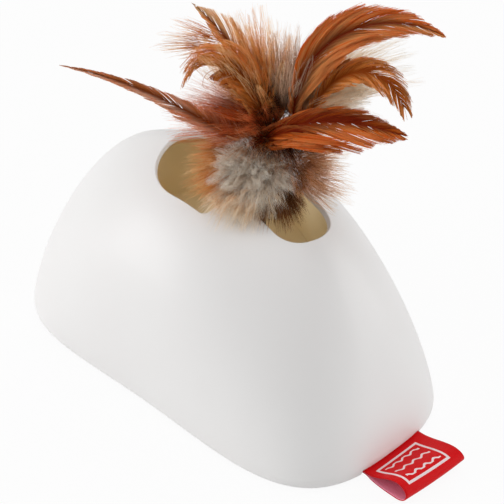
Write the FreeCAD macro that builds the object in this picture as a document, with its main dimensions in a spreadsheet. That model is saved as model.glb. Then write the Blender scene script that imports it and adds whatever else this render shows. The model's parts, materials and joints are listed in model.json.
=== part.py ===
import FreeCAD, Part

import math
import os
import re
import Sketcher
from types import SimpleNamespace

# A motion-activated feather toy for cats: a hollow white mound stands on four feet, and a geared
# wand with a feather tuft sweeps along an opening in its crown.
# X runs along the mound, towards the end with the ribbon tag, and Z is up. The origin is the centre
# of the base plate's underside. All sizes are in millimetres and all angles in degrees.

V = FreeCAD.Vector
doc = FreeCAD.newDocument("FeatherToy")

# Driving sizes

SIZES = (
    # The moulded mound
    ("half_length", 98.0),
    ("half_width", 54.0),
    ("crown_height", 98.8),
    ("shell_wall", 2.4),
    ("tuck_height", 5.5),
    ("rim_tuck", 1.4),
    ("end_rise", 1.32),
    ("end_round", 3.23),
    ("side_rise", 1.9),
    ("side_round", 2.25),
    ("plan_square_low", 2.95),
    ("plan_square_high", 2.18),
    ("waist_low", 0.225),
    ("waist_high", -0.65),
    # The opening in the crown
    ("big_lobe_centre", -2.5),
    ("big_lobe_radius", 26.0),
    ("big_lobe_end", 17.0),
    ("small_lobe_start", 28.7),
    ("small_lobe_centre", 41.5),
    ("small_lobe_radius", 13.5),
    ("lobe_corner", 4.0),
    ("neck_half_width", 7.5),
    ("finger_tip", 2.0),
    ("opening_bottom", 75.0),
    # The tub under the opening
    ("tub_margin", 1.6),
    ("tub_wall", 1.6),
    ("tub_floor_top", 60.0),
    ("tub_floor", 1.8),
    ("tub_seat_gap", 0.2),
    ("slit_gap", 1.4),
    # The base plate
    ("plate_thick", 3.0),
    ("plate_gap", 0.4),
    ("lip_thick", 1.5),
    ("lip_height", 3.4),
    ("foot_end_margin", 22.0),
    ("foot_side_margin", 21.0),
    ("foot_radius", 5.2),
    ("foot_depth", 1.0),
    ("foot_stand", 1.2),
    ("foot_gap", 0.1),
    # Shell screws and their posts
    ("post_end_margin", 34.0),
    ("post_side_margin", 19.5),
    ("post_radius", 4.2),
    ("pad_height", 5.2),
    ("screw_radius", 1.3),
    ("screw_head_radius", 2.4),
    ("screw_head", 1.6),
    ("screw_length", 10.0),
    ("head_sink", 2.2),
    ("head_gap", 0.4),
    ("hole_gap", 0.2),
    # Cells, their well and its door
    ("cell_radius", 7.1),
    ("cell_body", 49.2),
    ("cell_nub", 1.2),
    ("cell_nub_radius", 2.7),
    ("cell_pitch", 14.9),
    ("cell_floor_gap", 0.4),
    ("well_end", -26.0),
    ("well_wall", 1.5),
    ("well_side_gap", 0.4),
    ("contact_thick", 0.4),
    ("contact_width", 9.0),
    ("contact_height", 11.0),
    ("spring_reach", 2.4),
    ("spring_half_height", 4.0),
    ("spring_width", 5.0),
    ("spring_play", 0.1),
    ("door_thick", 2.2),
    ("door_gap", 0.3),
    ("door_play", 0.15),
    ("door_ledge", 1.6),
    ("door_pin_radius", 0.6),
    ("door_pin_reach", 1.6),
    ("grip_width", 14.0),
    ("grip_depth", 0.7),
    ("grip_pitch", 2.4),
    ("grip_ribs", 3),
    # The wand's pivot and its gear train
    ("pivot_x", 23.0),
    ("pivot_z", 28.0),
    ("arm_module", 0.8),
    ("sector_teeth", 50),
    ("second_pinion_teeth", 10),
    ("middle_module", 0.6),
    ("second_wheel_teeth", 40),
    ("first_pinion_teeth", 10),
    ("motor_module", 0.5),
    ("first_wheel_teeth", 40),
    ("motor_pinion_teeth", 8),
    ("pressure_angle", 20.0),
    ("tooth_shift", 0.4),
    ("second_bearing", -10.0),
    ("first_bearing", 30.0),
    ("motor_bearing", 10.0),
    ("tooth_play", 0.12),
    ("swing_back", 24.0),
    ("swing_forward", 18.0),
    ("sector_spare", 9.0),
    ("sector_rim", 4.0),
    ("sector_spoke", 2.2),
    ("arm_half_thick", 2.5),
    ("layer_gap", 0.5),
    ("wheel_thick", 3.0),
    ("small_wheel_thick", 2.2),
    ("pin_radius", 1.0),
    ("shaft_radius", 1.5),
    ("shaft_spare", 1.0),
    ("running_gap", 0.05),
    ("end_play", 0.2),
    ("gear_hub", 2.4),
    # The wand
    ("hub_radius", 5.0),
    ("lever_low", 8.0),
    ("lever_high", 6.4),
    ("socket_radius", 3.6),
    ("socket_low", 52.0),
    ("socket_high", 72.0),
    ("socket_depth", 14.0),
    ("socket_taper", 6.0),
    ("wand_radius", 1.2),
    ("wand_top", 109.0),
    ("ferrule_radius", 2.6),
    ("ferrule_low", 97.0),
    ("ferrule_high", 112.0),
    ("crimp_pitch", 3.0),
    ("crimp_radius", 0.5),
    # The gear frame
    ("frame_low", 6.0),
    ("frame_thick", 2.0),
    ("frame_start", 10.0),
    ("frame_end", 88.0),
    ("frame_near", -23.0),
    ("frame_far", 20.0),
    ("frame_inset", 3.5),
    ("side_thick", 2.4),
    ("side_gap", 3.0),
    ("bush_radius", 2.6),
    ("flange_radius", 3.6),
    ("flange_thick", 0.6),
    ("bearing_radius", 5.4),
    ("pin_boss_radius", 3.2),
    ("stay_radius", 2.8),
    ("stay_margin", 1.6),
    ("low_stay_x", 13.0),
    ("low_stay_z", 13.5),
    ("top_stay_x", 40.0),
    ("top_stay_z", 43.0),
    ("far_stay_z", 48.0),
    ("small_screw_radius", 1.0),
    ("small_head_radius", 1.9),
    ("small_head", 1.2),
    ("small_screw_length", 6.0),
    # The motor
    ("motor_radius", 10.05),
    ("motor_height", 15.1),
    ("motor_length", 25.0),
    ("motor_boss_radius", 3.0),
    ("motor_boss", 1.4),
    ("motor_shaft_radius", 1.0),
    ("motor_pinion_over", 0.4),
    ("saddle_half_length", 8.8),
    ("saddle_width", 6.0),
    ("saddle_inset", 2.0),
    ("strap_thick", 1.0),
    ("strap_width", 7.0),
    ("strap_foot", 6.0),
    ("strap_foot_top", 20.0),
    ("strap_gap", 0.05),
    ("terminal_offset", 5.0),
    ("terminal_width", 2.0),
    ("terminal_reach", 2.4),
    # The circuit board and what stands on it
    ("board_start", -22.0),
    ("board_end", 7.0),
    ("board_half_width", 24.0),
    ("board_low", 10.0),
    ("board_thick", 1.6),
    ("board_corner", 2.0),
    ("board_post_radius", 2.6),
    ("board_inset", 3.6),
    ("sensor_radius", 2.4),
    ("sensor_length", 10.0),
    ("plug_length", 5.0),
    ("plug_width", 4.6),
    ("plug_height", 4.2),
    # The slide switch in the base
    ("switch_x", -6.0),
    ("switch_margin", 17.0),
    ("switch_length", 11.0),
    ("switch_width", 6.4),
    ("switch_height", 5.0),
    ("switch_travel", 3.0),
    ("knob_length", 3.4),
    ("knob_width", 3.6),
    ("knob_recess", 0.5),
    ("knob_flange", 0.7),
    ("knob_play", 0.15),
    # The ribbon tag
    ("tag_half_width", 17.0),
    ("tag_thick", 0.8),
    ("tag_reach", 21.5),
    ("tag_roll_height", 8.4),
    ("tag_low", -1.0),
    ("tag_tail", 9.0),
    ("tag_root", 2.0),
    ("tag_gap", 0.1),
    ("clamp_cover", 1.5),
    # Leads
    ("lead_radius", 0.6),
    # Feathers and down
    ("hackle_half_width", 5.5),
    ("hackle_half_thick", 0.6),
    ("plume_height", 56.0),
    ("plume_spread", 26.0),
    ("plume_girth", 11.0),
    ("down_reach", 25.0),
    ("down_girth", 6.5),
)

sheet = doc.addObject("Spreadsheet::Sheet", "Sizes")
for row, (alias, size) in enumerate(SIZES, start=1):
    sheet.set("A%d" % row, alias)
    sheet.set("B%d" % row, "%g" % size)
    sheet.setAlias("B%d" % row, alias)
doc.recompute()

# Places that follow from the sizes

PLACES = (
    # Feet, screw posts and the switch, inside the mound's outline
    ("foot_x", "half_length - foot_end_margin"),
    ("foot_y", "half_width - foot_side_margin"),
    ("post_x", "half_length - post_end_margin"),
    ("post_y", "half_width - post_side_margin"),
    ("switch_y", "half_width - switch_margin"),
    # Gear centres
    ("second_reach", "arm_module * (sector_teeth + second_pinion_teeth) / 2"),
    ("first_reach", "middle_module * (second_wheel_teeth + first_pinion_teeth) / 2"),
    ("motor_reach", "motor_module * (first_wheel_teeth + motor_pinion_teeth) / 2"),
    ("second_x", "pivot_x + second_reach * cos(second_bearing)"),
    ("second_z", "pivot_z + second_reach * sin(second_bearing)"),
    ("first_x", "second_x + first_reach * cos(first_bearing)"),
    ("first_z", "second_z + first_reach * sin(first_bearing)"),
    ("motor_x", "first_x + motor_reach * cos(motor_bearing)"),
    ("motor_z", "first_z + motor_reach * sin(motor_bearing)"),
    # Layers of the gear train, along Y
    ("wheel_low", "arm_half_thick + layer_gap"),
    ("wheel_high", "wheel_low + wheel_thick"),
    ("small_low", "wheel_high + layer_gap"),
    ("small_high", "small_low + small_wheel_thick"),
    ("motor_face", "wheel_low - end_play"),
    ("motor_rear", "motor_face - motor_length"),
    ("cover_low", "small_high + side_gap / 2"),
    ("cover_high", "cover_low + side_thick"),
    ("near_high", "-arm_half_thick - side_gap"),
    ("near_low", "near_high - side_thick"),
    # The gear frame
    ("frame_top", "frame_low + frame_thick"),
    ("stay_edge", "stay_radius + stay_margin"),
    ("wall_start", "first_x + middle_module * (first_pinion_teeth / 2 + 1.5) + layer_gap"),
    ("wall_end", "motor_x + motor_radius"),
    ("far_stay_x", "wall_start + stay_edge"),
    ("motor_bed", "motor_z - motor_height / 2"),
    ("strap_inner", "motor_radius + strap_gap"),
    ("strap_outer", "strap_inner + strap_thick"),
    ("strap_low", "motor_rear + saddle_inset + saddle_inset"),
    ("strap_screw_x", "strap_outer + strap_foot / 2"),
    # The cell well and its door
    ("well_start", "well_end - cell_body - cell_nub - 2 * contact_thick - spring_reach"),
    ("well_half", "cell_pitch + cell_radius + well_side_gap"),
    ("well_top", "door_thick + cell_floor_gap + 2 * cell_radius + well_side_gap"),
    ("cell_z", "door_thick + cell_floor_gap + cell_radius"),
    ("door_start", "well_start - door_ledge + door_gap"),
    ("door_end", "well_end + door_ledge - door_gap"),
    ("door_half", "well_half + door_ledge - door_gap"),
    ("hinge_x", "door_start + door_thick / 2"),
    ("hinge_z", "door_thick / 2"),
    ("leaf_reach", "spring_reach - spring_play"),
    ("leaf_radius", "(spring_half_height ^ 2 + leaf_reach ^ 2) / 2 / leaf_reach"),
    # The board, the switch and the tag
    ("board_x", "(board_start + board_end) / 2"),
    ("board_half_length", "(board_end - board_start) / 2"),
    ("board_top", "board_low + board_thick"),
    ("plug_inset", "board_half_width - 2 * board_inset - plug_width / 2"),
    ("sensor_far", "plug_inset"),
    ("sensor_near", "sensor_far - sensor_length"),
    ("knob_x", "switch_x - switch_travel / 2"),
    ("flange_length", "knob_length / 2 + knob_flange"),
    ("flange_width", "knob_width / 2 + knob_flange"),
    ("flange_high", "plate_thick + knob_play + 2 * knob_flange"),
    ("tag_floor", "tag_root - tag_thick"),
    ("tag_ceiling", "tag_root + tag_thick"),
    ("tag_inner_end", "half_length - tag_tail"),
    # The slit in the tub's floor, which follows the wand's sweep
    ("slit_height", "tub_floor_top - pivot_z"),
    ("slit_start", "pivot_x - slit_height * tan(swing_back) - socket_radius / cos(swing_back) - slit_gap"),
    ("slit_end", "pivot_x + slit_height * tan(swing_forward) + socket_radius / cos(swing_forward) + slit_gap"),
    ("slit_half", "socket_radius + slit_gap"),
)

WORDS = {alias: "Sizes." + alias for alias, size in SIZES}
WORDS.update({name: "Places." + name for name, text in PLACES})
WORD = re.compile(r"[a-z_]+")


def formula(text):
    """Turns the words of a size or place into the document's own names."""
    return WORD.sub(lambda found: WORDS.get(found.group(), found.group()), str(text))


places = doc.addObject("App::VarSet", "Places")
for name, text in PLACES:
    places.addProperty("App::PropertyFloat", name, "Base")
    places.setExpression(name, formula(text))
doc.recompute()

D = SimpleNamespace(**{alias: float(sheet.get(alias)) for alias, size in SIZES})
for name, text in PLACES:
    setattr(D, name, getattr(places, name))

# Building helpers

NODES = []
TURNS = {
    "x": FreeCAD.Rotation(V(0, 1, 0), 90),
    "y": FreeCAD.Rotation(V(1, 0, 0), -90),
    "z": FreeCAD.Rotation(),
}


def node(label, item):
    """Names a finished sub-part."""
    item.Label = label
    NODES.append(item)
    return item


def bind(item, **formulas):
    """Binds properties of an object to sizes and places."""
    for name, text in formulas.items():
        item.setExpression(name, formula(text))
    return item


def place(item, x=0, y=0, z=0):
    """Binds an object's position."""
    for axis, text in (("x", x), ("y", y), ("z", z)):
        item.setExpression("Placement.Base." + axis, formula(text))
    return item


def span(ends):
    """The length between two ends."""
    return "(%s) - (%s)" % (ends[1], ends[0])


def box(x, y, z):
    """A block between two ends along each axis."""
    item = doc.addObject("Part::Box", "Block")
    bind(item, Length=span(x), Width=span(y), Height=span(z))
    return place(item, x[0], y[0], z[0])


def turned(kind, axis, ends, x, y, z):
    """A round solid along an axis, from the first end to the second."""
    item = doc.addObject(kind, "Round")
    item.Placement = FreeCAD.Placement(V(), TURNS[axis])
    bind(item, Height=span(ends))
    at = {"x": x, "y": y, "z": z}
    at[axis] = ends[0]
    return place(item, **at)


def rod(axis, radius, ends, x=0, y=0, z=0):
    """A cylinder along an axis."""
    return bind(turned("Part::Cylinder", axis, ends, x, y, z), Radius=radius)


def cone(axis, radii, ends, x=0, y=0, z=0):
    """A cone along an axis, with a radius at each end."""
    return bind(turned("Part::Cone", axis, ends, x, y, z), Radius1=radii[0], Radius2=radii[1])


def fuse(*items):
    """Joins solids into one."""
    item = doc.addObject("Part::MultiFuse", "Joined")
    item.Shapes = list(items)
    item.Refine = True
    return item


def cut(base, *tools):
    """Takes solids away from another."""
    item = doc.addObject("Part::Cut", "Cut")
    item.Base = base
    item.Tool = tools[0] if len(tools) == 1 else fuse(*tools)
    item.Refine = True
    return item


def common(first, second):
    """Keeps what two solids share."""
    item = doc.addObject("Part::Common", "Shared")
    item.Base = first
    item.Tool = second
    return item


def group(*items):
    """Keeps separate solids together as one sub-part."""
    item = doc.addObject("Part::Compound", "Set")
    item.Links = list(items)
    return item


def form(name, shape):
    """A shape worked out from the sizes by a formula of its own."""
    item = doc.addObject("Part::Feature", name)
    item.Shape = shape
    item.Placement = FreeCAD.Placement()
    return item


def prism(name, face, axis, ends):
    """Pushes a flat outline along an axis, from the first end to the second."""
    outline = form(name, face)
    item = doc.addObject("Part::Extrusion", name + "Solid")
    item.Base = outline
    item.DirMode = "Custom"
    item.Dir = {"x": V(1, 0, 0), "y": V(0, 1, 0), "z": V(0, 0, 1)}[axis]
    item.Solid = True
    bind(item, LengthFwd=span(ends))
    return place(item, **{axis: ends[0]})


def mirrored(make):
    """The same piece on all four quarters of the plan."""
    return [make(x, y) for x in ("-", "") for y in ("-", "")]


def flat(x, y, plane="z"):
    """A point of an outline: in plan, or standing in the XZ plane."""
    return V(x, y, 0) if plane == "z" else V(x, 0, y)


def arc(x, y, radius, first, last, plane="z"):
    """An arc from one bearing to another."""
    turns = [math.radians(turn) for turn in (first, (first + last) / 2, last)]
    ends = [flat(x + radius * math.cos(t), y + radius * math.sin(t), plane) for t in turns]
    return Part.Arc(*ends).toShape()


def hull(rounds, plane="z"):
    """The outline drawn tight around circles (x, y, radius), given anticlockwise."""
    bearings = []
    for (x0, y0, r0), (x1, y1, r1) in zip(rounds, rounds[1:] + rounds[:1]):
        lean = math.asin((r0 - r1) / math.hypot(x1 - x0, y1 - y0))
        bearings.append(math.degrees(math.atan2(y1 - y0, x1 - x0) + lean) - 90)
    edges = []
    for place_in, (x, y, radius) in enumerate(rounds):
        first, last = bearings[place_in - 1], bearings[place_in]
        last += 360 * math.ceil((first - last) / 360)
        edges.append(arc(x, y, radius, first, last, plane))
        after = rounds[(place_in + 1) % len(rounds)]
        turn = math.radians(bearings[place_in])
        ends = [flat(cx + r * math.cos(turn), cy + r * math.sin(turn), plane)
                for cx, cy, r in ((x, y, radius), after)]
        edges.append(Part.makeLine(*ends))
    return Part.Face(Part.Wire(edges))


# The mound's form

TUCK_CURVE = 2.2
WAIST_MIDDLE = 0.4
SECTION_POINTS = 28
SECTION_STEPS = 8
CAP_LEAN = 84.0
STEP_CURVE = 0.87


def power(number, exponent):
    """A power that keeps the sign."""
    return math.copysign(abs(number) ** exponent, number)


def mound_section(height, inset):
    """The mound's closed outline at one height, moved in by the inset."""
    top = D.crown_height - inset
    if height < D.tuck_height:
        drawn_in = ((D.tuck_height - height) / D.tuck_height) ** TUCK_CURVE
        reach = side = 1 - D.rim_tuck / D.half_length * drawn_in
    else:
        rise = (height - D.tuck_height) / (top - D.tuck_height)
        reach = (1 - rise ** D.end_rise) ** (1 / D.end_round)
        side = (1 - rise ** D.side_rise) ** (1 / D.side_round)
    share = height / D.crown_height
    square = D.plan_square_low + (D.plan_square_high - D.plan_square_low) * share ** 2
    waist = D.waist_low + (D.waist_high - D.waist_low) * share
    points = []
    for step in range(SECTION_POINTS):
        turn = 2 * math.pi * (step + 0.5) / SECTION_POINTS
        along = power(math.cos(turn), 2 / square)
        across = power(math.sin(turn), 2 / square)
        x = (D.half_length - inset) * reach * along
        y = (D.half_width - inset) * side * across * (1 + waist * (along ** 2 - WAIST_MIDDLE))
        points.append(V(x, y, height))
    curve = Part.BSplineCurve()
    knots = [step / SECTION_POINTS for step in range(SECTION_POINTS + 1)]
    curve.interpolate(Points=points, PeriodicFlag=True, Parameters=knots)
    return Part.Wire([curve.toShape()])


def mound(inset, bottom):
    """The mound as a solid, moved in by the inset, from the bottom to its crown."""
    rise = D.crown_height - inset - D.tuck_height
    heights = [bottom, D.tuck_height / 3, D.tuck_height]
    for step in range(1, SECTION_STEPS + 1):
        lean = CAP_LEAN * (step / SECTION_STEPS) ** STEP_CURVE
        heights.append(D.tuck_height + rise * math.sin(math.radians(lean)))
    return Part.makeLoft([mound_section(height, inset) for height in heights], True, False, False)


def low_mound(inset, bottom, top):
    """The lowest band of the mound, moved in by the inset."""
    middle = (bottom + top) / 2
    wires = [mound_section(height, inset) for height in (bottom, middle, top)]
    return Part.makeLoft(wires, True, False, False)


# The opening's outline in plan: a large and a small lobe, joined by a neck between four fingers

def opening_outline():
    """Half of the outline is drawn with lines and arcs, and the other half is its mirror image."""
    big, small, corner = D.big_lobe_radius, D.small_lobe_radius, D.lobe_corner
    neck, first, last = D.neck_half_width, D.big_lobe_end, D.small_lobe_start
    tip = min(D.finger_tip, 0.9 * (small - corner - neck))
    half = [
        arc(D.big_lobe_centre, 0, big, 180, 90),
        Part.makeLine(V(D.big_lobe_centre, big), V(first - corner, big)),
        arc(first - corner, big - corner, corner, 90, 0),
        Part.makeLine(V(first, big - corner), V(first, neck + tip)),
        arc(first + tip, neck + tip, tip, 180, 270),
        Part.makeLine(V(first + tip, neck), V(last - tip, neck)),
        arc(last - tip, neck + tip, tip, 270, 360),
        Part.makeLine(V(last, neck + tip), V(last, small - corner)),
        arc(last + corner, small - corner, corner, 180, 90),
        Part.makeLine(V(last + corner, small), V(D.small_lobe_centre, small)),
        arc(D.small_lobe_centre, 0, small, 90, 0),
    ]
    other = [edge.mirror(V(), V(0, 1, 0)) for edge in half]
    return Part.Face(Part.Wire(Part.__sortEdges__(half + other)))


# Top shell: the moulded mound with its opening, four screw posts inside and a notch for the tag

def post(x, y):
    """One of the shell's screw posts, which ends in the shell's wall."""
    return rod("z", "post_radius", ("pad_height", "crown_height"), x + "post_x", y + "post_y")


def post_bore(x, y):
    """The screw's bore in a post."""
    ends = ("pad_height", "head_sink + screw_length + screw_radius")
    return rod("z", "screw_radius", ends, x + "post_x", y + "post_y")


wall_middle = form("WallMiddle", mound(D.shell_wall / 2, 0))
posts = common(fuse(*mirrored(post)), wall_middle)
shell = cut(form("MoundOutside", mound(0, 0)), form("MoundInside", mound(D.shell_wall, -1)))
notch = box(("tag_inner_end", "half_length + tag_gap"), ("-tag_half_width - door_gap", "tag_half_width + door_gap"),
            ("-1", "tag_ceiling + tag_gap"))
opening = prism("Opening", opening_outline(), "z", ("opening_bottom", "crown_height + 1"))
node("top_shell", cut(fuse(cut(shell, opening, notch), posts), *mirrored(post_bore)))

# Opening tub: a walled tray under the opening, seated against the shell's inside

def tub_plan(margin):
    """The tray's plan: a tight outline around both lobes of the opening."""
    corner = D.lobe_corner
    start = D.big_lobe_centre - D.big_lobe_radius
    half = (D.big_lobe_end - start) / 2
    big = math.hypot(half, D.big_lobe_radius) - corner * (math.sqrt(2) - 1)
    rounds = [(start + half, 0, big + margin), (D.small_lobe_centre, 0, D.small_lobe_radius + margin)]
    return hull(rounds)


tub_bottom = "tub_floor_top - tub_floor"
tub_room = form("TubRoom", mound(D.shell_wall + D.tub_seat_gap, 0))
tub_block = prism("TubOutside", tub_plan(D.tub_margin + D.tub_wall), "z", (tub_bottom, "crown_height"))
tub_hollow = prism("TubInside", tub_plan(D.tub_margin), "z", ("tub_floor_top", "crown_height + 1"))
slit_ends = [(D.slit_end - D.slit_half, 0, D.slit_half), (D.slit_start + D.slit_half, 0, D.slit_half)]
slit = prism("Slit", hull(slit_ends), "z", (tub_bottom + " - 1", "tub_floor_top + 1"))
node("opening_tub", cut(common(tub_block, tub_room), tub_hollow, slit))

# Base plate: floor, locating lip, cell well, screw pads, board posts, frame posts and tag clamp

plate_inset = D.shell_wall + D.plate_gap
rim_top = D.plate_thick + D.lip_height
floor = form("PlateRim", low_mound(plate_inset, 0, rim_top))
rim_hollow = form("PlateHollow", low_mound(plate_inset + D.lip_thick, D.plate_thick, rim_top + 1))


def pad(x, y):
    """A raised pad under a shell post."""
    return rod("z", "post_radius", ("plate_thick / 2", "pad_height"), x + "post_x", y + "post_y")


def board_post(x, y):
    """A post under a corner of the circuit board."""
    across = y + "(board_half_width - board_inset)"
    along = "board_x + %s(board_half_length - board_inset)" % (x or "+")
    return rod("z", "board_post_radius", ("plate_thick / 2", "board_low"), along, across)


def frame_spots():
    """The four screws that hold the gear frame down."""
    return [(x, y) for x in ("frame_start + frame_inset", "frame_end - frame_inset")
            for y in ("frame_near + frame_inset", "frame_far - frame_inset")]


def frame_post(x, y):
    """A post under the gear frame."""
    return rod("z", "frame_inset - layer_gap", ("plate_thick / 2", "frame_low"), x, y)


well = box(("well_start - well_wall", "well_end + well_wall"), ("-well_half - well_wall", "well_half + well_wall"),
           ("plate_thick / 2", "well_top + well_wall"))
clamp = box(("tag_inner_end - 2 * clamp_cover", "half_length - shell_wall - plate_gap - lip_thick"),
            ("-tag_half_width - clamp_cover / 2", "tag_half_width + clamp_cover / 2"),
            ("plate_thick - tag_thick", "tag_ceiling + clamp_cover"))
raised = [*mirrored(pad), *mirrored(board_post), *[frame_post(x, y) for x, y in frame_spots()]]
plate_body = fuse(cut(floor, rim_hollow), well, clamp, *raised)


def head_pocket(x, y):
    """The recess in the underside for a shell screw's head."""
    return rod("z", "screw_head_radius + head_gap", (0, "head_sink"), x + "post_x", y + "post_y")


def shank_hole(x, y):
    """The hole for a shell screw's shank."""
    return rod("z", "screw_radius + hole_gap", (0, "pad_height"), x + "post_x", y + "post_y")


def foot_pocket(x, y):
    """The recess for a rubber foot."""
    return rod("z", "foot_radius + foot_gap", (0, "foot_depth"), x + "foot_x", y + "foot_y")


def board_bore(x, y):
    """The screw bore in a board post."""
    across = y + "(board_half_width - board_inset)"
    along = "board_x + %s(board_half_length - board_inset)" % (x or "+")
    return rod("z", "small_screw_radius", ("board_top - small_screw_length", "board_low"), along, across)


def frame_bore(x, y):
    """The screw bore in a frame post."""
    return rod("z", "small_screw_radius", ("frame_top - small_screw_length", "frame_low"), x, y)


well_hollow = box(("well_start", "well_end"), ("-well_half", "well_half"), ("0", "well_top"))
door_recess = box(("door_start - door_gap", "door_end + door_gap"), ("-door_half - door_gap", "door_half + door_gap"),
                  ("0", "door_thick + door_play"))
hinge_reach = "door_half + door_gap + door_pin_reach + end_play"
hinge_bore = rod("y", "door_pin_radius + running_gap", ("-(%s)" % hinge_reach, hinge_reach), "hinge_x", 0, "hinge_z")
knob_slot = box(("knob_x - knob_length / 2 - knob_play", "knob_x + switch_travel + knob_length / 2 + knob_play"),
                ("switch_y - knob_width / 2 - knob_play", "switch_y + knob_width / 2 + knob_play"),
                ("0", "plate_thick"))
tag_slot = box(("tag_inner_end - tag_gap", "half_length"), ("-tag_half_width - door_gap", "tag_half_width + door_gap"),
               ("tag_floor - tag_gap", "tag_ceiling + tag_gap"))
lead_holes = [
    rod("x", "lead_radius + 2 * hole_gap", ("well_end - 1", "well_end + well_wall"), 0, "-cell_pitch", "cell_z + 4"),
    rod("x", "lead_radius + 2 * hole_gap", ("well_start - well_wall", "well_start + 1"), 0, "cell_pitch", "cell_z + 4"),
]
hollows = [well_hollow, door_recess, hinge_bore, knob_slot, tag_slot, *lead_holes]
hollows += [*mirrored(head_pocket), *mirrored(shank_hole), *mirrored(foot_pocket), *mirrored(board_bore)]
hollows += [frame_bore(x, y) for x, y in frame_spots()]
node("base_plate", cut(plate_body, *hollows))

# Rubber feet

def foot(x, y):
    """One foot, a slightly coned pad."""
    radii = ("foot_radius - foot_depth / 2", "foot_radius")
    low = cone("z", radii, ("-foot_stand", 0), x + "foot_x", y + "foot_y")
    return fuse(low, rod("z", "foot_radius", (0, "foot_depth"), x + "foot_x", y + "foot_y"))


node("rubber_feet", group(*mirrored(foot)))

# Screws: a round head and a plain shank, pointing away from the head

def screw(axis, seat, way, radius, head, length, x, y, z):
    """A screw whose head sits on the seat, with its shank running the other way."""
    head_radius, head_thick = head
    ends = (seat, "%s %s %s" % (seat, way, head_thick)) if way == "+" else \
        ("%s - %s" % (seat, head_thick), seat)
    shank = ("%s - %s" % (seat, length), seat) if way == "+" else (seat, "%s + %s" % (seat, length))
    return fuse(rod(axis, head_radius, ends, x, y, z), rod(axis, radius, shank, x, y, z))


def small_screw(axis, seat, way, x=0, y=0, z=0):
    """One of the small screws used inside."""
    head = ("small_head_radius", "small_head")
    return screw(axis, seat, way, "small_screw_radius", head, "small_screw_length", x, y, z)


def shell_screw(x, y):
    """One of the four screws that hold the shell on the base."""
    head = ("screw_head_radius", "screw_head")
    return screw("z", "head_sink", "-", "screw_radius", head, "screw_length", x + "post_x", y + "post_y", 0)


def board_screw(x, y):
    """One of the four screws of the circuit board."""
    across = y + "(board_half_width - board_inset)"
    along = "board_x + %s(board_half_length - board_inset)" % (x or "+")
    return small_screw("z", "board_top", "+", along, across)


node("shell_screws", group(*mirrored(shell_screw)))
node("board_screws", group(*mirrored(board_screw)))
node("frame_screws", group(*[small_screw("z", "frame_top", "+", x, y) for x, y in frame_spots()]))

# Sketched outlines for the pieces made as bodies

def plane_of(body, role):
    """One of a body's origin planes."""
    return next(item for item in body.Origin.OriginFeatures if item.Role == role)


def new_sketch(body, role):
    """A sketch on one of a body's origin planes."""
    sketch = body.newObject("Sketcher::SketchObject", "Outline")
    sketch.AttachmentSupport = [(plane_of(body, role), "")]
    sketch.MapMode = "FlatFace"
    return sketch


def limit(sketch, name, text, *constraint):
    """Adds a named dimension to a sketch and binds it."""
    index = sketch.addConstraint(Sketcher.Constraint(*constraint))
    sketch.renameConstraint(index, name)
    sketch.setExpression("Constraints." + name, formula(text))


def centred_rectangle(sketch, length, width):
    """A rectangle centred on the sketch's origin."""
    corners = [V(-9, -5), V(9, -5), V(9, 5), V(-9, 5)]
    for side in range(4):
        sketch.addGeometry(Part.LineSegment(corners[side], corners[(side + 1) % 4]), False)
    for side in range(4):
        sketch.addConstraint(Sketcher.Constraint("Coincident", side, 2, (side + 1) % 4, 1))
        sketch.addConstraint(Sketcher.Constraint("Vertical" if side % 2 else "Horizontal", side))
    sketch.addConstraint(Sketcher.Constraint("Symmetric", 0, 1, 2, 1, -1, 1))
    limit(sketch, "length", length, "DistanceX", 0, 1, 0, 2, 18.0)
    limit(sketch, "width", width, "DistanceY", 1, 1, 1, 2, 10.0)


def upright_edges(shape):
    """The names of a solid's edges along Z."""
    names = []
    for index, edge in enumerate(shape.Edges, start=1):
        if abs(edge.tangentAt(edge.FirstParameter).z) > 0.9:
            names.append("Edge%d" % index)
    return names


# Circuit board: a plate with rounded corners and four screw holes

board = doc.addObject("PartDesign::Body", "Board")
outline = new_sketch(board, "XY_Plane")
centred_rectangle(outline, "2 * board_half_length", "2 * board_half_width")
board_plate = board.newObject("PartDesign::Pad", "BoardPlate")
board_plate.Profile = outline
bind(board_plate, Length="board_thick")
doc.recompute()
rounding = board.newObject("PartDesign::Fillet", "BoardCorners")
rounding.Base = (board_plate, upright_edges(board_plate.Shape))
bind(rounding, Radius="board_corner")
doc.recompute()
hole = new_sketch(board, "XY_Plane")
hole.addGeometry(Part.Circle(V(9, 9), V(0, 0, 1), 1), False)
limit(hole, "bore", "small_screw_radius + hole_gap", "Radius", 0, 1.0)
limit(hole, "along", "board_half_length - board_inset", "DistanceX", -1, 1, 0, 3, 9.0)
limit(hole, "across", "board_half_width - board_inset", "DistanceY", -1, 1, 0, 3, 9.0)
bored = board.newObject("PartDesign::Pocket", "BoardHole")
bored.Profile = hole
bored.Type = "ThroughAll"
bored.Midplane = True
doc.recompute()
copies = board.newObject("PartDesign::MultiTransform", "BoardHoles")
copies.Originals = [bored]
across_x = board.newObject("PartDesign::Mirrored", "AcrossX")
across_x.MirrorPlane = (hole, ["V_Axis"])
across_y = board.newObject("PartDesign::Mirrored", "AcrossY")
across_y.MirrorPlane = (hole, ["H_Axis"])
copies.Transformations = [across_x, across_y]
board.Tip = copies
place(board, "board_x", 0, "board_low")
node("circuit_board", board)

# Battery door: a plate that turns on two pins at its rounded end, with finger ribs at the other

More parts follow.
